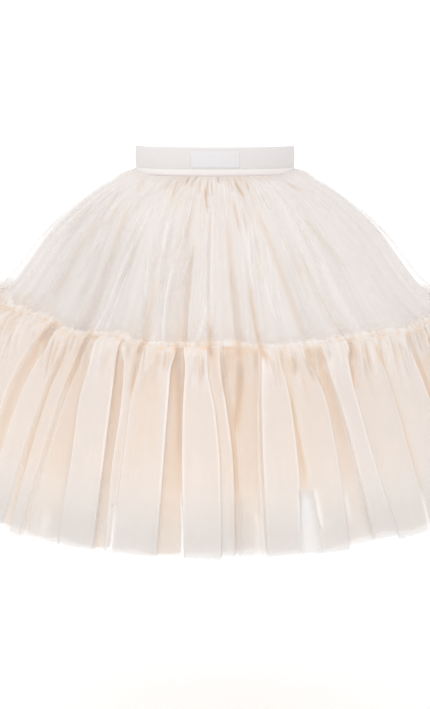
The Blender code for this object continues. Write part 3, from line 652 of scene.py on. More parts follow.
def net_finish(name, plain, warm, deep, pale, greyness_and_shade, cell, mesh_contrast):
    """Fine six-sided net, light passing through: paler where doubled and painted lit, warmer in its depths
    and painted shade.
    """
    finish = Finish(name)
    place, x, y = finish.cut()
    pitch = 4 * math.pi / (math.sqrt(3) * cell)
    slant = pitch * math.sqrt(3) / 2
    holes = (
        (x * pitch).cosine() + (x * (-pitch / 2) + y * slant).cosine()
        + (x * (pitch / 2) + y * slant).cosine()
    )
    holes = holes * (1 / 3)
    mottle = finish.noise(place, 0.006) - 0.5
    patches = finish.noise(place, 0.045) - 0.5
    cover = (finish.field("cover") * (1.0 - holes * mesh_contrast + mottle * 0.05 + patches * 0.12)).limited()
    warmth = finish.field("warmth") + patches * 0.25
    # paler for doubled net and painted highlight; warmer and deeper for the peach layers and painted shade;
    # greyer for thin net and painted shade
    colour = finish.blend(plain, warm, warmth.limited())
    colour = finish.blend(colour, deep, (warmth - 1.0).limited())
    colour = finish.blend(colour, pale, finish.field("paleness_and_highlight"))
    colour = finish.blend(colour, greyness_and_shade, finish.field("greyness_and_shade"))
    threads = finish.node(
        "ShaderNodeBump", None, {"Strength": 0.06, "Distance": 0.0003, "Height": 1.0 - holes},
    )
    cloth = finish.node("ShaderNodeBsdfPrincipled", None, {
        "Base Color": colour,
        "Roughness": 0.80,
        "Specular IOR Level": 0.25,
        "Sheen Weight": 0.25,
        "Sheen Roughness": 0.45,
        "Normal": threads,
    })
    glow = finish.node("ShaderNodeBsdfTranslucent", None, {"Color": (0.92, 0.87, 0.82, 1.0)})
    lit = finish.node("ShaderNodeMixShader", None, {0: 0.30, 1: cloth, 2: glow})
    clear = finish.node("ShaderNodeBsdfTransparent")
    return finish.surface(finish.node("ShaderNodeMixShader", None, {0: cover, 1: clear, 2: lit}))


def band_finish(name, channel, flange):
    """Close cloth over elastic, cool on its channel and warmer on the flange, with fine ribs."""
    finish = Finish(name)
    place, x, y = finish.cut()
    share = finish.field("warmth")
    tone = finish.noise(place, 0.020) - 0.5
    colour = finish.blend(channel, flange, (share + tone * 0.3).limited())
    ribs = (x * (2 * math.pi / 0.0011)).cosine() * 0.5 + (y * (2 * math.pi / 0.0009)).cosine() * 0.5
    weave = finish.node("ShaderNodeBump", None, {
        "Strength": 0.25, "Distance": 0.0002, "Height": ribs + finish.noise(place, 0.004) * 0.8,
    })
    return finish.surface(finish.node("ShaderNodeBsdfPrincipled", None, {
        "Base Color": colour,
        "Roughness": 0.62 + tone * 0.12,
        "Specular IOR Level": 0.30,
        "Sheen Weight": 0.15,
        "Sheen Roughness": 0.40,
        "Normal": weave,
    }))


def satin_finish(name, colour, roughness, rib, upper=None):
    """A smooth, faintly shiny cloth with fine threads across, perhaps of another colour towards its top."""
    finish = Finish(name)
    place, x, _ = finish.cut()
    tone = finish.noise(place, 0.030) - 0.5
    shade = finish.blend(colour, upper or colour, finish.field("warmth"))
    weave = finish.node("ShaderNodeBump", None, {
        "Strength": 0.15, "Distance": 0.0002, "Height": (x * (2 * math.pi / rib)).cosine(),
    })
    return finish.surface(finish.node("ShaderNodeBsdfPrincipled", None, {
        "Base Color": finish.blend(shade, lighter(colour, 1.04), (tone + 0.5).limited()),
        "Roughness": roughness + tone * 0.1,
        "Specular IOR Level": 0.35,
        "Sheen Weight": 0.10,
        "Normal": weave,
    }))


def thread_finish(name, colour):
    """Spun thread."""
    finish = Finish(name)
    where = finish.node("ShaderNodeTexCoord", output=3)
    twist = finish.noise(where, 0.0008) - 0.5
    return finish.surface(finish.node("ShaderNodeBsdfPrincipled", None, {
        "Base Color": finish.blend(colour, lighter(colour, 1.06), (twist + 0.5).limited()),
        "Roughness": 0.55 + twist * 0.2,
        "Sheen Weight": 0.2,
    }))


# What a user would change

def length(name, text, default):
    return FloatProperty(name=name, description=text, default=default, min=0.0, unit="LENGTH")


def colour(name, text, default):
    return FloatVectorProperty(
        name=name, description=text, default=default, size=3, subtype="COLOR", min=0.0, max=1.0,
    )


class SkirtSizes(bpy.types.PropertyGroup):
    """Sizes of the skirt's pieces. The waistband's and the seam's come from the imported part."""

    waist_half_width: length(
        "Waist half-width", "Half the waistband's width", band_high.x - FLANGE_OUT - 0.0020,
    )
    waist_half_depth: length("Waist half-depth", "Half the waistband's depth", band_high.y - FLANGE_OUT)
    band_height: length("Band height", "Height of the waistband", band_high.z - band_low.z + 0.0028)
    channel_height: length("Channel height", "From the band's top to its groove", 0.0335)
    back_dip: length("Back dip", "How much lower the band's edge sits at the back", 0.0075)
    band_wall: length("Band thickness", "Thickness of the waistband", 0.0030)
    tier_start_drop: length(
        "Tier start", "From the band's top down to the gathers' start", band_high.z - band_low.z + SEAM_GAP
    )
    seam_half_width: length("Seam half-width", "Half the width at the flounce's seam", tier_high.x)
    seam_half_depth: length("Seam half-depth", "Half the depth at the flounce's seam", -tier_low.y)
    seam_side_drop: length("Seam drop, side", "From the band's top down to the seam, at the side", 0.2303)
    seam_front_drop: length("Seam drop, front", "From the band's top down to the seam, in front", 0.2723)
    hem_half_width: length("Hem half-width", "Half the width at the hem", 0.4640)
    hem_half_depth: length("Hem half-depth", "Half the depth at the hem", 0.3835)
    hem_side_drop: length("Hem drop, side", "From the band's top down to the hem, at the side", 0.5273)
    hem_front_drop: length("Hem drop, front", "From the band's top down to the hem, in front", 0.5603)
    heading_height: length("Heading height", "Of the flounce's crimped edge above its seam", 0.0135)
    fold_tuck: length("Fold tuck", "How far a fold's sides turn in behind its edges", 0.0008)
    fold_sink: length("Fold sink", "How much lower a fold's soft edge lies than its crisp one", 0.0032)
    under_gap: length("Net gap", "Between the outer net and the one under it", 0.0016)
    lining_half_width: length("Lining half-width", "Half the lining's width at its hem", 0.3980)
    lining_half_depth: length("Lining half-depth", "Half the lining's depth at its hem", 0.3160)
    lining_side_drop: length("Lining drop, side", "From the band's top down to the lining's hem", 0.4490)
    lining_front_drop: length("Lining drop, front", "From the band's top down to the lining's hem", 0.4810)
    seed: IntProperty(name="Seed", description="Which small creases the nets get", default=7, min=0)


class SkirtColours(bpy.types.PropertyGroup):
    """Colours of the nets, cloths and thread."""

    # the gather and deep blush colours are painted shade, blush is the nets' peach and painted shade, the
    # crease and folded-edge colours are doubled net and painted highlight, the hem grey is thin net and
    # painted shade
    ivory: colour("Ivory net", "Net of the upper tier", (0.824, 0.811, 0.816))
    ivory_gather_shade: colour("Ivory gather shade", "Painted shade in the upper tier's tightest gathers", (0.47, 0.35, 0.25))
    ivory_doubled_and_highlight: colour(
        "Ivory crease and highlight", "Doubled net along a crease, and painted highlight on ridges and by the band", (0.91, 0.895, 0.90),
    )
    cream: colour("Cream net", "Net of the flounce's folds", (0.818, 0.797, 0.788))
    blush: colour("Blush net", "Peach of the nets below, and painted shade in depths and grooves", (0.88, 0.68, 0.50))
    deep: colour("Deep blush shade", "Painted shade in the flounce's tightest gathers, under its seam", (0.68, 0.41, 0.23))
    white: colour("Folded edge and highlight", "Doubled net along a fold, and painted highlight and painted light", (0.93, 0.905, 0.885))
    greyness_and_shade: colour("Hem grey and shade", "Grey of thin net near the hem, and painted shade", (0.62, 0.60, 0.59))
    channel: colour("Band channel", "Cloth over the elastic", (0.67, 0.64, 0.635))
    flange: colour("Band flange", "Edge of the band below its groove", (0.75, 0.71, 0.69))
    patch: colour("Patch", "Bare satin patch", (0.655, 0.645, 0.66))
    lining: colour("Lining", "Lining under the nets", (0.86, 0.815, 0.785))
    thread: colour("Thread", "Sewing thread", (0.88, 0.84, 0.81))
    net_cell: length("Net cell", "Width of one hole of the net", 0.0013)


class StudioSizes(bpy.types.PropertyGroup):
    """The camera, the lights and the floor."""

    camera_distance: length("Camera distance", "From the skirt's middle", 2.640)
    camera_height: length("Camera height", "Above the waist's middle", 0.1005)
    camera_pitch: FloatProperty(
        name="Camera pitch", description="How far the camera looks down",
        default=math.radians(8.825), subtype="ANGLE",
    )
    lens: FloatProperty(name="Lens", description="Focal length", default=84.8, unit="CAMERA")
    floor_drop: length("Floor drop", "From the waist's middle down to the floor", 0.95)
    sky: FloatProperty(name="Sky", description="Strength of the white surroundings", default=1.14, min=0.0)
    key: FloatProperty(
        name="Key light", description="Power of the soft light in front", default=14.0, min=0.0,
    )


def upper_shape(sizes):
    """The upper tier's smooth shape, which starts just under the band's lower edge."""
    inset = 0.0003
    return Tier(
        (sizes.waist_half_width - inset, sizes.seam_half_width),
        (sizes.waist_half_depth - inset, sizes.seam_half_depth),
        (sizes.tier_start_drop, sizes.seam_side_drop),
        (sizes.tier_start_drop, sizes.seam_front_drop),
        UPPER_SHAPE,
        band_high.z,
    )


def flounce_shape(sizes):
    """The flounce's smooth shape over its folds."""
    return Tier(
        (sizes.seam_half_width, sizes.hem_half_width),
        (sizes.seam_half_depth, sizes.hem_half_depth),
        (sizes.seam_side_drop, sizes.hem_side_drop),
        (sizes.seam_front_drop, sizes.hem_front_drop),
        FLOUNCE_SHAPE,
        band_high.z,
    )


def keep_off_side_seams(points, turn, gap=0.0004):
    """Keeps a half's points on its own side of the side seams."""
    side = 1 if turn else -1
    points[..., 1] = side * np.maximum(side * points[..., 1], gap)
    return points


# How the flounce's cloth runs between two folds and over a fold: angles in degrees and lengths in metres
CLOSED, OPEN_FALL = 0.42, 0.09  # the share of a gap that closes at the seam, and the fall where it is open
MOST_ROOM = 6.0  # as much of the gap beside a fold as counts
WIDE_GAP, LEAST_WIDE = 0.013, 0.12  # where a gap counts as wide, and how wide the narrowest one counts
# a crisp side turns in by a share of its fold, a soft one runs into the gap
CRISP_SHARE, SOFT_SHARE = 0.28, 0.42
# a slot is as deep as a share of its width, less if narrow
SLOT_DEPTH, NARROW_SLOT, LEAST_SLOT = 0.6, 0.006, 0.0002
GAP_STEP, FACE_STEP = 0.30, 0.21  # between two columns of a gap and of a fold's face
FEWEST_GAP, FEWEST_FACE, LAST_GAP = 3, 7, 4  # columns
# of a fold's rounded edges and the lines along them
ROUND_DEPTH, ROUND_WIDTH, LINE_WIDTH = 0.0014, 0.0035, 0.0036
SIDE_PLACES = np.array([0.0, 0.35, 0.7])[None, :]  # of a side's columns, from the slot towards the face
# painted on the flounce: warmth, partly painted shade, in the slots and low on a fold's sides, and paleness
# on the sides, painted light against their shade
SLOT_WARMTH_AND_SHADE, SIDE_WARMTH_AND_SHADE, SIDE_PAINTED_LIGHT = 0.55, 0.4, 0.40
SHORTER = 0.004  # a trough's hem than its folds'


def flounce_columns(sizes, falls):
    """A half's columns across the folds at each fall, as arrays of rows by columns: angles, insets in
    metres, depths, palenesses (doubled net and painted light), warmths (partly painted shade) and hems."""
    lefts = smooth_curve(EDGE_FALLS, np.array([fold.left for fold in FLOUNCE_FOLDS]).T, falls)
    rights = smooth_curve(EDGE_FALLS, np.array([fold.right for fold in FLOUNCE_FOLDS]).T, falls)
    closed = (lefts[:, 1:] - rights[:, :-1]) * (CLOSED * (1 - ease(0.0, OPEN_FALL, falls))[:, None] / 2)
    lefts[:, 1:] -= closed
    rights[:, :-1] += closed
    trough = smooth_curve(TROUGH_FALLS, TROUGH_DEPTHS, falls)[:, None]
    # metres for each degree
    span = math.pi / 180 * (
        sizes.seam_half_width + sizes.seam_half_depth
        + (
            sizes.hem_half_width + sizes.hem_half_depth - sizes.seam_half_width - sizes.seam_half_depth
        ) * falls
    )[:, None] / 2
    tucked = ease(0.0, 0.05, falls)[:, None]
    settle = ease(0.12, 0.45, falls)[:, None]
    stores = [], [], [], [], [], []

    def add(*values):
        """Adds columns with an angle, an inset, a depth, a paleness with painted light, a warmth with painted
        shade and a hem.
        """
        shape = np.broadcast(*values).shape
        for store, value in zip(stores, values):
            store.append(np.broadcast_to(value, shape))

    def edge_inset(fold, side):
        """How far in a fold's left (0) or right (1) edge lies."""
        return trough * (1 - fold.height) + sizes.fold_sink * (1 - fold.lines[side]) * settle

    def slot_inset(index, space):
        """How far in the slot to the right of a fold lies: deep where it is wide."""
        fold, following = FLOUNCE_FOLDS[max(index, 0)], FLOUNCE_FOLDS[min(index + 1, len(FLOUNCE_FOLDS) - 1)]
        base = np.maximum(edge_inset(fold, 1), edge_inset(following, 0)) + LEAST_SLOT
        first, last = fold.trough
        opened = SLOT_DEPTH * (space * span) ** 2 / (space * span + NARROW_SLOT)
        return np.maximum(base, np.minimum(trough * (first + (last - first) * settle), base + opened))

    reached = right_before = np.full((len(falls), 1), -90.0)
    hem_before = FLOUNCE_FOLDS[0].hem
    for index, fold in enumerate(FLOUNCE_FOLDS):
        left, right = lefts[:, index:index + 1], rights[:, index:index + 1]
        width = (right - left) * span
        left_after = lefts[:, index + 1:index + 2] if index + 1 < len(FLOUNCE_FOLDS) else 90.0
        room = [
            np.maximum(np.minimum(space, MOST_ROOM), 0.0)
            for space in (left - right_before, left_after - right)
        ]
        wide = [np.clip(space * span / WIDE_GAP, LEAST_WIDE, 1) for space in room]
        crisp = np.minimum(sizes.fold_tuck, CRISP_SHARE * width) / span
        tucks = [
            (crisp * line * share - SOFT_SHARE * space * (1 - line)) * tucked
            for line, space, share in zip(fold.lines, room, wide)
        ]
        slots = slot_inset(index - 1, room[0]), slot_inset(index, room[1])
        sunk = [sizes.fold_sink * (1 - line) * settle for line in fold.lines]
        level = trough * (1 - fold.height)
        soft = np.minimum(ROUND_DEPTH, 0.5 * width) * np.minimum(*wide)

        def add_side(side, edge, tuck, s):
            """The fold's left (0) or right (1) side, from the slot (s at 0) towards its face (s at 1)."""
            add(
                edge + tuck * (1 - s) ** 1.6,
                level + soft + sunk[side] + (slots[side] - level - soft - sunk[side]) * (1 - s),
                wide[side] * (1 - s * 0.9),
                # paleness on the side: doubled net at the edge, and painted light against the side's shade
                np.maximum(fold.lines[side] * s, SIDE_PAINTED_LIGHT),
                fold.warmth[side] + (1 - s) * SIDE_WARMTH_AND_SHADE * wide[side],
                fold.hem,
            )

        # the trough before the fold
        gap = (left + tucks[0]) - reached
        count = max(FEWEST_GAP, int(np.median(gap) / GAP_STEP))
        s = (np.arange(count) + (0.5 if index else 0.0))[None, :] / count
        bulge = 1 - 0.10 * np.sin(math.pi * s) * tucked
        # paler at the slot's edges: painted light against the shade in its corners
        lit = 0.30 * np.abs(2 * s - 1) ** 3
        hem = (hem_before + fold.hem) / 2 - SHORTER
        add(reached + gap * s, slots[0] * bulge, wide[0], lit, SLOT_WARMTH_AND_SHADE * wide[0], hem)
        add_side(0, left, tucks[0], SIDE_PLACES)
        # its face, with more columns towards the edges
        even = np.linspace(0, 1, max(FEWEST_FACE, int(np.median(right - left) / FACE_STEP)))[None, :]
        s = (0.5 - 0.5 * np.cos(math.pi * even)) * 0.5 + even * 0.5
        edge = np.minimum(s, 1 - s) * width
        corner = np.clip(1 - edge / ROUND_WIDTH, 0, 1)
        rounding = soft * (1 - np.sqrt(np.maximum(1 - corner ** 2, 0)))
        # pale lines along the face's edges: doubled net and a painted highlight
        add(
            left + (right - left) * s,
            level + rounding + sunk[0] * (1 - s) ** 1.5 + sunk[1] * s ** 1.5,
            (1 - fold.height) * 0.9,
            np.where(s < 0.5, *fold.lines) * np.clip(1.25 * (1 - edge / LINE_WIDTH), 0, 1),
            fold.warmth[0] + (fold.warmth[1] - fold.warmth[0]) * s,
            fold.hem,
        )
        add_side(1, right, -tucks[1], SIDE_PLACES[:, ::-1])
        reached, right_before, hem_before = right - tucks[1], right, fold.hem
    s = np.arange(1, LAST_GAP + 1)[None, :] / LAST_GAP
    add(reached + (90.0 - reached) * s, trough, 1.0, 0.0, SLOT_WARMTH_AND_SHADE, hem_before)
    return [np.concatenate(store, axis=1) for store in stores]


def thin_places(falls, angles, which):
    """How much of the outer or of the under net is left at falls and angles: 1 where it is whole."""
    left_over = np.ones(angles.shape)
    for thin in THIN_PLACES:
        s = (falls - thin.start) / (thin.end - thin.start)
        low = thin.left_first + (thin.left_last - thin.left_first) * s
        high = thin.right_first + (thin.right_last - thin.right_first) * s
        soft = np.minimum(0.12, (high - low) * 0.3)
        inside = ease(-soft, soft, angles - low) * ease(-soft, soft, high - angles)
        inside = inside * ease(-0.01, 0.01, s)
        left_over = left_over * (1 - inside * (1 - getattr(thin, which)) * ((s > -0.02) & (s < 1)))
    return left_over


def waist_oval(sizes, turn):
    """Points round the waistband at turns in radians, and the directions outward and along it there."""
    width, depth = sizes.waist_half_width, sizes.waist_half_depth
    level = np.zeros(np.shape(turn))
    points = np.stack([width * np.sin(turn), -depth * np.cos(turn), level], axis=-1)
    out = unit(np.stack([np.sin(turn) / width, -np.cos(turn) / depth, level], axis=-1))
    along = unit(np.stack([width * np.cos(turn), depth * np.sin(turn), level], axis=-1))
    return points, out, along


# The waistband and its patch, in metres
EDGE_ROUND = 0.0012  # of the band's top edge
# how much the cloth puckers along the groove, and how far up and down from it
PUCKER, PUCKER_REACH = 0.00022, 0.004
CHANNEL_BULGE = 0.0006
STITCH_SUNK = 0.0010  # how deep in the groove the stitches lie
PATCH_LIFT, PATCH_SET = 0.0006, 0.0004  # how thick the patch is, and how far out it starts
PATCH_RIDGE, PATCH_GROOVE = 0.0005, 0.0004  # where its edges are turned under
PATCH_SEAM, PATCH_PITCH = 0.0016, 0.0022  # how far in its stitches lie, and how far apart


class SKIRT_OT_waistband(bpy.types.Operator):
    """Makes the elastic waistband and its bare patch"""

    bl_idname = "skirt.waistband"
    bl_label = "Waistband"

    def execute(self, context):
        sizes, colours = context.scene.skirt_sizes, context.scene.skirt_colours
        band = band_finish("band_cloth", colours.channel, colours.flange)
        top = band_high.z + BAND_RISE
        bottom, groove = top - sizes.band_height, top - sizes.channel_height
        profile = self.profile(sizes, top, bottom, groove)
        columns = 300  # and as many stitches
        angle = np.linspace(0, 360, columns, endpoint=False)
        ring, out, along = waist_oval(sizes, np.radians(angle))
        rng = dice(sizes, "waistband")
        dip = ease(90.0, 155.0, np.abs(180.0 - np.abs(angle - 180.0)))
        pucker = PUCKER * wander(rng, columns, 3.2)
        pucker[-4:] = pucker[:4][::-1]
        rows = []
        for height, offset, _ in profile:
            near_groove = math.exp(-((height - groove) / PUCKER_REACH) ** 2)
            push = offset + pucker * near_groove * (offset > -sizes.band_wall / 2)
            row = ring + out * push[:, None]
            row[:, 2] = height - sizes.back_dip * dip * ease(groove, top, height)
            rows.append(row)
        warmth = np.array([[warm] for _, _, warm in profile])
        piece, (girth, _) = cloth_mesh(
            "elastic_waistband", np.array(rows)[::-1], {"warmth": warmth[::-1]}, band, closed=True
        )
        sew_on(piece, "waistband_cloth", "waistband")
        thread = thread_finish("band_thread", colours.thread)
        ring[:, 2] = groove - 0.0001
        stitches = stitch_row("waistband_stitches", ring - out * STITCH_SUNK, along, out, BAND_STITCH, thread)
        sew_on(stitches, "waistband_cloth")
        2 * sizes.band_height
        self.make_patch(sizes, colours, thread)
        return {"FINISHED"}

    def profile(self, sizes, top, bottom, groove):
        """Heights, outward offsets and warmths from the inside of the band's hem over its top edge, down
        over the channel and its groove, and round to the start."""
        wall = sizes.band_wall
        points = [
            (bottom + 0.0006, -wall, 1.0), (groove, -wall - 0.0002, 1.0), (top - 0.012, -wall, 0.0),
            (top - EDGE_ROUND, -wall, 0.0),
        ]
        for turn in (math.pi * step / 6 for step in range(1, 6)):
            out = -wall / 2 - (wall / 2 - 0.0003) * math.cos(turn)
            points.append((top - EDGE_ROUND + EDGE_ROUND * math.sin(turn), out, 0.0))
        for share in (0.10, 0.3, 0.55, 0.8, 0.93):
            bulge = CHANNEL_BULGE * math.sin(math.pi * share)
            points.append((top - sizes.channel_height * share, bulge - 0.0002, 0.0))
        return points + [
            (groove + 0.0009, -0.0004, 0.3), (groove, -0.0010, 0.8), (groove - 0.0009, -0.0002, 1.0),
            (groove - 0.0022, 0.0004, 1.0), (bottom + 0.0035, 0.0004, 1.0), (bottom + 0.0012, 0.0002, 1.0),
            (bottom + 0.0001, -0.0008, 1.0), (bottom + 0.0001, -wall + 0.0006, 1.0), points[0],
        ]

    def make_patch(self, sizes, colours, thread):
        """The bare patch: satin with folded side edges, stitched along both."""
        satin = satin_finish("patch_satin", colours.patch, 0.38, 0.0007, colours.channel)
        half_turn = math.degrees(math.asin(patch_high.x / sizes.waist_half_width))
        top, bottom = patch_high.z, patch_low.z
        columns, rows = 72, 26
        u = np.linspace(-1, 1, columns)[None, :]
        v = np.linspace(0, 1, rows)[:, None]
        fold = PATCH_RIDGE * np.exp(-((np.abs(u) - 0.95) / 0.030) ** 2)
        fold = fold - PATCH_GROOVE * np.exp(-((np.abs(u) - 0.86) / 0.02) ** 2)
        edge = np.clip(np.minimum(np.minimum((1 - np.abs(u)) / 0.03, v / 0.25), (1 - v) / 0.10), 0, 1)
        out = PATCH_LIFT * np.sqrt(1 - (1 - edge) ** 2) + fold * edge + 0.0002 * np.sin(math.pi * v)
        points, away, _ = waist_oval(sizes, np.broadcast_to(np.radians(half_turn * u), out.shape))
        points[..., 2] = top + (bottom - top) * v
        points = points + away * (out + PATCH_SET)[..., None]
        piece, flat = cloth_mesh("bare_patch", points, {"warmth": 1 - ease(0.25, 0.75, v)}, satin)
        sew_on(piece, "patch_satin", "waist_patch")
        heights = np.arange(bottom + 0.0025, top - 0.0015, PATCH_PITCH)
        turn = np.radians(half_turn * (1 - PATCH_SEAM / patch_high.x))
        spots, outs, _ = waist_oval(sizes, np.repeat([-turn, turn], len(heights)))
        spots[:, 2] = np.tile(heights, 2)
        upright = np.tile([0.0, 0.0, 1.0], (len(spots), 1))
        spots = spots + outs * (PATCH_LIFT + 0.0009)
        stitches = stitch_row("patch_stitches", spots, upright, outs, PATCH_STITCH, thread)
        sew_on(stitches, "patch_satin")


# The upper tier's nets, in metres
UPPER_LOW, UPPER_HIGH = -0.006, 0.0045  # how far creases sink and rise at most
UPPER_INSET = 0.0005  # from the smooth shape
SIDE_FULLNESS = 0.0030  # how much farther out the nets stand towards the sides
SHOULDER_OUT, SHOULDER_UP = 0.0026, 0.0080  # how much farther out and higher their sides start at the band


class SKIRT_OT_upper_tier(bpy.types.Operator):
    """Makes the gathered upper tier: a sheer outer net over a denser one"""

    bl_idname = "skirt.upper_tier"
    bl_label = "Upper tier"

    def execute(self, context):
        sizes, colours = context.scene.skirt_sizes, context.scene.skirt_colours
        nets = net_finish(
            "upper_net", colours.ivory, colours.blush, colours.ivory_gather_shade, colours.ivory_doubled_and_highlight, colours.greyness_and_shade,
            colours.net_cell, UPPER_MESH,
        )
        for half, turn in HALVES:
            for name, outer, columns, rows in (
                ("upper_net", True, 900, 64), ("upper_under_net", False, 640, 52),
            ):
                points, fields = self.net(sizes, turn, outer, columns, rows)
                piece, flat = cloth_mesh(f"{name}_{half}", points, fields, nets)
                sew_on(piece, "ivory_net", *((f"upper_tier_{half}",) if outer else ()))
        return {"FINISHED"}

    def net(self, sizes, turn, outer, columns, rows):
        """The points and fields of a half's outer net, or of the one under it."""
        shape = BothTiers(upper_shape(sizes), flounce_shape(sizes))
        rng = dice(sizes, "upper_tier", turn)
        falls = np.linspace(0, 1, rows)[:, None] ** 1.15
        angles = across_half(columns)
        aside = np.abs(angles)
        # the listed creases, narrower where they end near the band, and then the scattered ones
        main = [
            crease._replace(width=crease.width * (1.3 if crease.end > 0.25 else 0.75))
            for crease in UPPER_CREASES
        ]
        gathers, ticks, lines = (
            scattered(rng, scatter) for scatter in (UPPER_GATHERS, UPPER_TICKS, UPPER_LINES)
        )
        ticks = [tick._replace(height=-abs(tick.height)) for tick in ticks]
        calm = 1 - ease(25.0, 64.0, aside)
        field = crease_field(main, falls, angles)
        field = field + (crease_field(gathers, falls, angles) + crease_field(lines, falls, angles)) * calm
        field = field + crease_field(ticks, falls, angles) * (0.4 + 0.6 * calm)
        held = ease(0.0, 0.03, falls) * (1 - 0.6 * ease(0.96, 1.0, falls))
        held = held * (0.35 + 0.65 * ease(0.0, 0.30, falls))
        lift = field * held * (1.0 if outer else 0.8) / 1000
        full = ease(50.0, 85.0, aside) * ease(0.0, 0.05, falls) * (1 - ease(0.4, 0.9, falls))
        lift = np.clip(lift, UPPER_LOW, UPPER_HIGH) + SIDE_FULLNESS * full
        sunk = 0.0 if outer else -smooth_curve(UNDER_FALLS, UNDER_DEPTHS, falls)
        around = angles + turn
        at = falls + seam_start(around) * ease(0.5, 1.0, falls)
        points = shape.over(at, around, lift - UPPER_INSET + sunk)
        shoulder = ease(45.0, 86.0, aside) * (1 - ease(0.0, 0.07, falls))
        points = points + SHOULDER_OUT * shoulder[..., None] * unit(points * LEVEL)
        points[..., 2] += SHOULDER_UP * shoulder
        light, warm = tones(UPPER_TONES, falls, angles)
        ridge, groove = ridges_and_grooves(field)
        near_band, upwards, near_seam = (
            1 - ease(0.0, 0.16, falls), 1 - ease(0.0, 0.55, falls), ease(0.88, 1.0, falls),
        )
        panels = (
            0.5 * wander(rng, columns, 7.0) * calm + 0.9 * wander(rng, columns, 12.0)
            + 0.8 * wander(rng, columns, 26.0)
        ) * ease(0.02, 0.20, falls)
        shade = (
            np.exp(-((angles + 55) / 24) ** 2) * ease(0.05, 0.30, falls) * (1 - 0.5 * ease(0.8, 1.0, falls))
        )
        shade = shade + 0.9 * np.exp(-((angles + 29) / 12) ** 2) * ease(0.25, 0.50, falls)
        sheer = 0.34 - 0.20 * ease(62.0, 80.0, aside) * ease(0.40, 0.62, falls)
        cover = (
            (sheer if outer else 0.78) + 0.35 * ridge + 0.25 * near_band + 0.15 * near_seam + 0.08 * panels
        )
        # warmer in grooves, near the band and near the seam: painted shade, with the warm tones
        warmth = (
            0.07 - 0.07 * ease(15.0, 55.0, aside) - 0.05 * ease(4.0, 26.0, angles) + 0.03 * near_band
            + 0.12 * near_seam + (0.35 + 0.9 * near_band + 0.3 * upwards) * groove + 0.8 * warm
        )
        # paler on ridges and near the band: painted highlight, and painted light against the shade there;
        # panels differ at random
        paleness_and_highlight = 0.8 * ridge + 0.12 * panels + 0.5 * near_band * (1 - groove) + 0.45 * light
        # greyer in grooves: painted shade; shade is a broad painted shade towards the left
        greyness_and_shade = 0.38 * groove * (1 - upwards + near_band) - 0.09 * panels + 0.22 * shade - 0.5 * light
        return keep_off_side_seams(points, turn), {
            "cover": np.clip(cover, 0, 1),
            "warmth": np.clip(warmth, 0, 2),
            "paleness_and_highlight": np.clip(paleness_and_highlight, 0, 1),
            "greyness_and_shade": np.clip(greyness_and_shade, 0, 1),
        }


# The flounce's nets: lengths in metres, and hems as shares of its drop
FOLDS_OUT = 0.0021  # from the smooth shape
MOST_CREASE = 5  # millimetres
HEM_RAGGED, HEM_WAVY = 0.0030, 0.0040
NICK, NICK_CHANCE = 0.012, 0.015
UNDER_SHORTER, UNDER_RAGGED, UNDER_WAVY = 0.006, 0.004, 0.010
UNDER_WAVES = 0.0022
HEADING_OUT, HEADING_BULGE, HEADING_CRIMP, HEADING_FLARE = 0.0018, 0.0008, 0.0009, 0.006
SEAM_PITCH, SEAM_STITCH_OUT = 0.0042, 0.0006


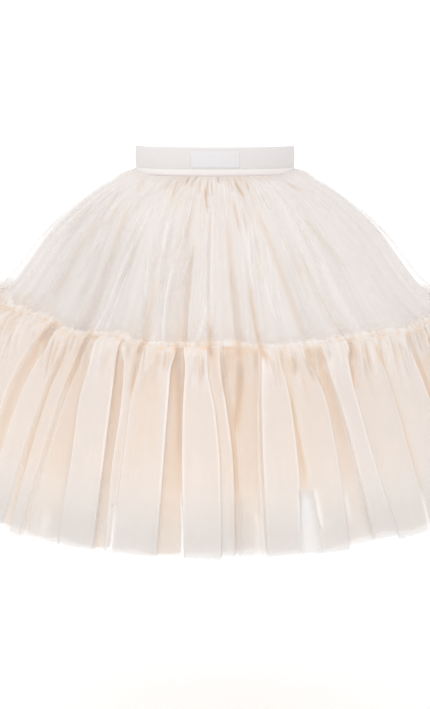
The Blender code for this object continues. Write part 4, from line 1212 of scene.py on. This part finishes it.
class SKIRT_OT_flounce(bpy.types.Operator):
    """Makes the flounce: a crimped heading, deep folds and a raw hem, in two nets"""

    bl_idname = "skirt.flounce"
    bl_label = "Flounce"

    def execute(self, context):
        sizes, colours = context.scene.skirt_sizes, context.scene.skirt_colours
        cloth = net_finish(
            "flounce_net", colours.cream, colours.blush, colours.deep, colours.white, colours.greyness_and_shade,
            colours.net_cell, FLOUNCE_MESH,
        )
        thread = thread_finish("flounce_thread", colours.thread)
        for half, turn in HALVES:
            points, fields = self.net(sizes, turn)
            piece, flat = cloth_mesh(f"flounce_net_{half}", points, fields, cloth)
            sew_on(piece, "blush_net", f"flounce_{half}")
            stitches = self.stitch(f"flounce_stitches_{half}", points[len(HEADING_RISES)], thread)
            points, fields = self.under_net(sizes, turn)
            piece, flat = cloth_mesh(f"flounce_under_net_{half}", points, fields, cloth)
            sew_on(piece, "blush_net")
        return {"FINISHED"}

    def lowered(self, down, around, hem):
        """Falls of the flounce's rows, with its seam sagging and its hem ragged."""
        return (
            down + (hem[None, :] - 1.0) * ease(0.80, 1.0, down)
            + seam_start(around) * (1 - ease(0.0, 0.5, down))
        )

    def net(self, sizes, turn):
        """The points and fields of a half's outer net, from the top of its heading to its raw hem."""
        shape, rng = flounce_shape(sizes), dice(sizes, "flounce", turn)
        down = FLOUNCE_ROWS[:, None]
        angles, insets, depths, paleness_and_highlights, warmths, hems = flounce_columns(sizes, FLOUNCE_ROWS)
        columns = angles.shape[1]
        hem = hems[-1] + HEM_RAGGED * wander(rng, columns, 2.0) + HEM_WAVY * wander(rng, columns, 14.0)
        hem = hem - NICK * (rng.random(columns) > 1 - NICK_CHANCE)
        around = angles + turn
        at = self.lowered(down, around, hem)
        # small gathers under the stitches and long waves, the same on both halves
        finer = dice(sizes, "gathers")
        gathers, waves = scattered(finer, FLOUNCE_GATHERS), scattered(finer, FLOUNCE_WAVES)
        field = crease_field((*FLOUNCE_CREASES, *gathers, *waves), down, angles)
        lift = np.clip(field, -MOST_CREASE, MOST_CREASE) * (1 - 0.7 * depths) * ease(0.0, 0.012, down) / 1000
        lift = lift - insets + FOLDS_OUT
        points = shape.over(at, around, lift)
        near_seam, near_hem = 1 - ease(0.0, 0.30, down), ease(0.55, 1.0, down)
        light, tinge = tones(FLOUNCE_TONES, down, angles)
        pale, dim = np.clip(light, 0, 1), np.clip(-light, 0, 1)
        ridge, groove = ridges_and_grooves(field)
        ends = ease(70.0, 84.0, np.abs(angles[:1]))
        # painted shade: deep warm openings of the troughs just under the seam, and a patchy warm line just
        # under the stitches
        mouth_shade = np.clip(2 * depths - 1, 0, 1) * np.exp(-(down / 0.035) ** 2)
        pinch_shade = np.exp(-(down / 0.012) ** 2) * np.clip(0.05 + 0.9 * wander(rng, columns, 5.0), 0.0, 1.2)
        pinch_shade = pinch_shade * (1 - 0.7 * ends)
        left_over = thin_places(down, angles, "outer")
        cover = (
            0.84 - 0.28 * depths * (1 - 0.7 * near_hem * (left_over <= 1)) + 0.16 * paleness_and_highlights + 0.12 * near_seam
        )
        cover = cover * left_over * (1 - 0.4 * ease(0.985, 1.0, down))
        # warmer on the folds' warm sides, in their depths and in grooves near the seam: the peach nets below
        # and painted shade
        warm = (
            0.12 - 0.06 * near_seam + 0.6 * warmths * (0.55 + 0.35 * near_seam)
            + depths * (0.30 + 0.36 * near_seam)
        )
        warm = warm + 0.55 * groove * near_seam + mouth_shade * (1 - ends)
        warm = warm * (1 - 0.45 * near_hem * (1 - 0.8 * depths))
        warm = warm + tinge - 0.10 * ease(16.0, 34.0, angles) - 0.05 * ease(8.0, 28.0, -angles)
        # paler along fold edges and on crease ridges: doubled net and painted highlight; paler tones are
        # painted light
        paleness_and_highlight = paleness_and_highlights * (0.72 - 0.27 * near_seam) + 0.75 * ridge * (0.4 + 0.6 * near_seam)
        paleness_and_highlight = paleness_and_highlight * (1 - pinch_shade) * (1 - np.clip(-2 * light, 0, 1)) + 0.5 * pale
        shaded = 0.10 * ease(8.0, 28.0, -angles)  # the left lies a little in the shade
        shaded = shaded + near_seam * (0.30 * np.clip(warmths + depths, 0, 1) + 0.35 * groove) + 0.40 * dim
        # greyer near the hem and in thin places, where the net is thin, and where shade is painted
        greyness_and_shade = 0.9 * near_hem * (1 - 0.7 * depths) * (1 - pale) + (left_over > 1) + shaded
        below = {"cover": cover, "warmth": warm + pinch_shade, "paleness_and_highlight": paleness_and_highlight, "greyness_and_shade": greyness_and_shade}
        heading, above = self.heading(sizes, rng, angles[:1], turn)
        fields = {
            name: np.concatenate([
                np.broadcast_to(above[name], heading.shape[:2]),
                np.broadcast_to(np.clip(values, 0, 2), lift.shape),
            ])
            for name, values in below.items()
        }
        return keep_off_side_seams(np.concatenate([heading, points]), turn), fields

    def heading(self, sizes, rng, angles, turn):
        """The points and fields of the crimped heading, which stands over the stitches on the upper tier."""
        both, rise = BothTiers(upper_shape(sizes), flounce_shape(sizes)), np.array(HEADING_RISES)[:, None]

        def ruffle(reach):
            """A random line along the seam whose bends are about reach degrees apart."""
            return np.interp(angles, np.linspace(-90, 90, 721), wander(rng, 721, reach * 4))

        flare = ease(61.0, 66.0, -angles) + ease(66.0, 74.0, angles)
        top = 1 + (0.20 * ruffle(2.0) + 0.12 * ruffle(0.6)) * (1 - 0.6 * flare)
        top = sizes.heading_height * top * (1 + 0.6 * flare)
        beat = 0.8 * ruffle(0.5) + 0.5 * ruffle(1.6)
        out = (
            HEADING_OUT + HEADING_BULGE * np.sin(math.pi * rise)
            + HEADING_CRIMP * beat * ease(0.0, 0.35, rise)
        )
        out = out + HEADING_FLARE * flare * rise
        around = angles + turn
        seam = 1 + seam_start(around)
        upwards = unit(both.place(seam - 0.03, around) - both.place(seam, around))
        points = both.place(seam, around) + upwards * (rise * top)[..., None]
        points = points + out[..., None] * both.outward(seam - 0.02, around)
        # paler on the crimps' crests and on the flared edge: painted highlight; warmer between crests and low
        # down: painted shade
        crest = np.clip(beat, -1, 1) * 0.5 + 0.5
        edge = flare * ease(0.75, 1.0, rise) + np.exp(-((angles + 63.0) / 0.8) ** 2)
        light, tinge = tones(FLOUNCE_TONES, -0.035 * rise, angles)  # they carry on above the seam
        return points, {
            "cover": (0.66 + 0.20 * crest) * (1 - 0.35 * flare) * (1 - 0.7 * ease(0.55, 1.0, rise)),
            "warmth": np.clip(0.40 - 0.30 * rise + 0.4 * (1 - crest) ** 2 - 0.20 * crest + tinge, 0, 2),
            "paleness_and_highlight": np.clip(0.45 * crest * (1 - flare) + 0.8 * edge + light, 0, 1),
            "greyness_and_shade": np.clip(-0.5 * light, 0, 1),
        }

    def under_net(self, sizes, turn):
        """The points and fields of the smoother net that hangs inside the folds."""
        shape, rng = flounce_shape(sizes), dice(sizes, "under_net", turn)
        columns, down = 420, FLOUNCE_ROWS[::2, None]
        angles = across_half(columns)
        middles = [(fold.left[-1] + fold.right[-1]) / 2 for fold in FLOUNCE_FOLDS]
        hem = np.interp(angles[0], middles, [fold.hem for fold in FLOUNCE_FOLDS])
        hem = (
            hem - UNDER_SHORTER + UNDER_RAGGED * wander(rng, columns, 3.0)
            + UNDER_WAVY * wander(rng, columns, 11.0)
        )
        around = angles + turn
        at = self.lowered(down, around, hem)
        inset = smooth_curve(TROUGH_FALLS, TROUGH_DEPTHS, down) + sizes.under_gap
        waves = UNDER_WAVES * wander(rng, columns, 9.0)[None, :] * ease(0.1, 0.7, down)
        points = shape.over(at, around, -(inset + np.abs(waves)))
        near_seam, near_hem = 1 - ease(0.0, 0.30, down), ease(0.55, 1.0, down)
        return keep_off_side_seams(points, turn), {
            "cover": 0.92 * thin_places(down, angles, "under"),
            "warmth": 0.50 + 0.3 * near_seam - 0.15 * near_hem,
            "paleness_and_highlight": 0.0,
            "greyness_and_shade": 0.5 * near_hem,
        }

    def stitch(self, name, line, thread):
        """Stitches along the flounce's seam."""
        lengths = np.concatenate([[0], np.cumsum(np.linalg.norm(np.diff(line, axis=0), axis=1))])
        spots = np.arange(SEAM_PITCH, lengths[-1] - SEAM_PITCH, SEAM_PITCH)
        points, ahead = (
            np.stack([np.interp(at, lengths, axis) for axis in line.T], axis=-1)
            for at in (spots, spots + 0.001)
        )
        along = unit(ahead - points)
        outs = unit(points * LEVEL)
        outs = unit(outs - along * (outs * along).sum(axis=1, keepdims=True))
        points = points + outs * SEAM_STITCH_OUT
        return sew_on(stitch_row(name, points, along, outs, SEAM_STITCH, thread), "blush_net")


class SKIRT_OT_lining(bpy.types.Operator):
    """Makes the smooth lining that hangs inside the nets"""

    bl_idname = "skirt.lining"
    bl_label = "Lining"

    def execute(self, context):
        sizes, colours = context.scene.skirt_sizes, context.scene.skirt_colours
        cloth = satin_finish("lining_cloth", colours.lining, 0.55, 0.0006)
        shape = upper_shape(sizes)
        columns, rows_above, rows_below = 220, 30, 24
        angles = across_half(columns)
        falls = np.linspace(0, 1, rows_above)[:, None]
        inset = smooth_curve([row.drop for row in UPPER_SHAPE], LINING_INSETS, falls)
        for half, turn in HALVES:
            rng = dice(sizes, "lining", turn)
            around = angles + turn
            ripple = crease_field(scattered(rng, LINING_RIPPLES), falls, angles)
            above = shape.over(falls, around, -(inset + np.clip(-ripple, 0, 3) / 1000))
            radians = np.radians(around[0])
            share = np.sin(radians) ** 2
            hem = np.stack([
                sizes.lining_half_width * np.sin(radians),
                -sizes.lining_half_depth * np.cos(radians),
                band_high.z - sizes.lining_side_drop * share - sizes.lining_front_drop * (1 - share),
            ], axis=-1)
            steps = np.linspace(0, 1, rows_below)[1:, None, None]
            sway = LINING_SWAY * wander(rng, columns, 16.0)[None, :, None] * steps
            below = above[-1] + (hem - above[-1]) * steps - unit(hem * LEVEL) * np.abs(sway)
            points = keep_off_side_seams(np.concatenate([above, below]), turn)
            piece, flat = cloth_mesh(f"lining_cloth_{half}", points, {"warmth": 0.0}, cloth)
            sew_on(piece, "lining_cloth", f"lining_{half}")
        return {"FINISHED"}


class SKIRT_OT_studio(bpy.types.Operator):
    """Makes the pale floor, the soft light and the camera"""

    bl_idname = "skirt.studio"
    bl_label = "Studio"

    def execute(self, context):
        studio = context.scene.skirt_studio
        reach = FLOOR_REACH
        corners = [(-reach, -reach), (reach, -reach), (reach, reach), (-reach, reach)]
        mesh = bpy.data.meshes.new("floor")
        mesh.from_pydata([(x, y, -studio.floor_drop) for x, y in corners], [], [(0, 1, 2, 3)])
        finish = Finish("pale_floor")
        paper = finish.node("ShaderNodeBsdfPrincipled", None, {
            "Base Color": (0.88, 0.88, 0.88, 1.0), "Roughness": 0.9,
            "Emission Color": (1.0, 1.0, 1.0, 1.0), "Emission Strength": 0.12,
        })
        mesh.materials.append(finish.surface(paper))
        add_object("floor", mesh)
        world = bpy.data.worlds.new("white_studio")
        world.use_nodes = True
        background = world.node_tree.nodes["Background"]
        background.inputs["Color"].default_value = (1.0, 1.0, 1.0, 1.0)
        background.inputs["Strength"].default_value = studio.sky
        context.scene.world = world
        light = bpy.data.lights.new("soft_key", "AREA")
        light.energy = studio.key
        light.shape = "RECTANGLE"
        light.size = light.size_y = KEY_SIZE
        key = add_object("soft_key", light)
        key.location = KEY_PLACE
        key.rotation_euler = (KEY_AIM - KEY_PLACE).to_track_quat("-Z", "Y").to_euler()
        lens = bpy.data.cameras.new("camera")
        lens.lens = studio.lens
        lens.sensor_width = SENSOR_WIDTH
        camera = add_object("camera", lens)
        camera.location = (0.0, -studio.camera_distance, studio.camera_height)
        camera.rotation_euler = (math.pi / 2 - studio.camera_pitch, 0.0, 0.0)
        context.scene.camera = camera
        context.scene.view_settings.view_transform = "Standard"
        # light passes through many layers of net
        cycles = context.scene.cycles
        cycles.transparent_max_bounces, cycles.max_bounces = 32, 20
        cycles.diffuse_bounces = cycles.transmission_bounces = 16
        return {"FINISHED"}


class SKIRT_PT_parts(bpy.types.Panel):
    """Lists the pieces of the skirt and what they are made from"""

    bl_label = "Tulle Skirt"
    bl_idname = "SKIRT_PT_parts"
    bl_space_type = "VIEW_3D"
    bl_region_type = "UI"
    bl_category = "Tulle Skirt"

    def draw(self, context):
        for operator in OPERATORS:
            self.layout.operator(operator.bl_idname)
        for group in (context.scene.skirt_sizes, context.scene.skirt_colours, context.scene.skirt_studio):
            box = self.layout.box()
            for name in type(group).__annotations__:
                box.prop(group, name)


OPERATORS = (
    SKIRT_OT_waistband, SKIRT_OT_upper_tier, SKIRT_OT_flounce, SKIRT_OT_lining, SKIRT_OT_studio,
)
GROUPS = {"skirt_sizes": SkirtSizes, "skirt_colours": SkirtColours, "skirt_studio": StudioSizes}


def register():
    for group in GROUPS.values():
        bpy.utils.register_class(group)
    for name, group in GROUPS.items():
        setattr(bpy.types.Scene, name, PointerProperty(type=group))
    for operator in OPERATORS:
        bpy.utils.register_class(operator)
    bpy.utils.register_class(SKIRT_PT_parts)


def unregister():
    bpy.utils.unregister_class(SKIRT_PT_parts)
    for operator in reversed(OPERATORS):
        bpy.utils.unregister_class(operator)
    for name, group in GROUPS.items():
        delattr(bpy.types.Scene, name)
        bpy.utils.unregister_class(group)


def main():
    """Sews the skirt and sets up the studio."""
    register()
    bpy.ops.skirt.waistband()
    bpy.ops.skirt.upper_tier()
    bpy.ops.skirt.flounce()
    bpy.ops.skirt.lining()
    bpy.ops.skirt.studio()
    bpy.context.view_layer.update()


if __name__ == "__main__":
    main()
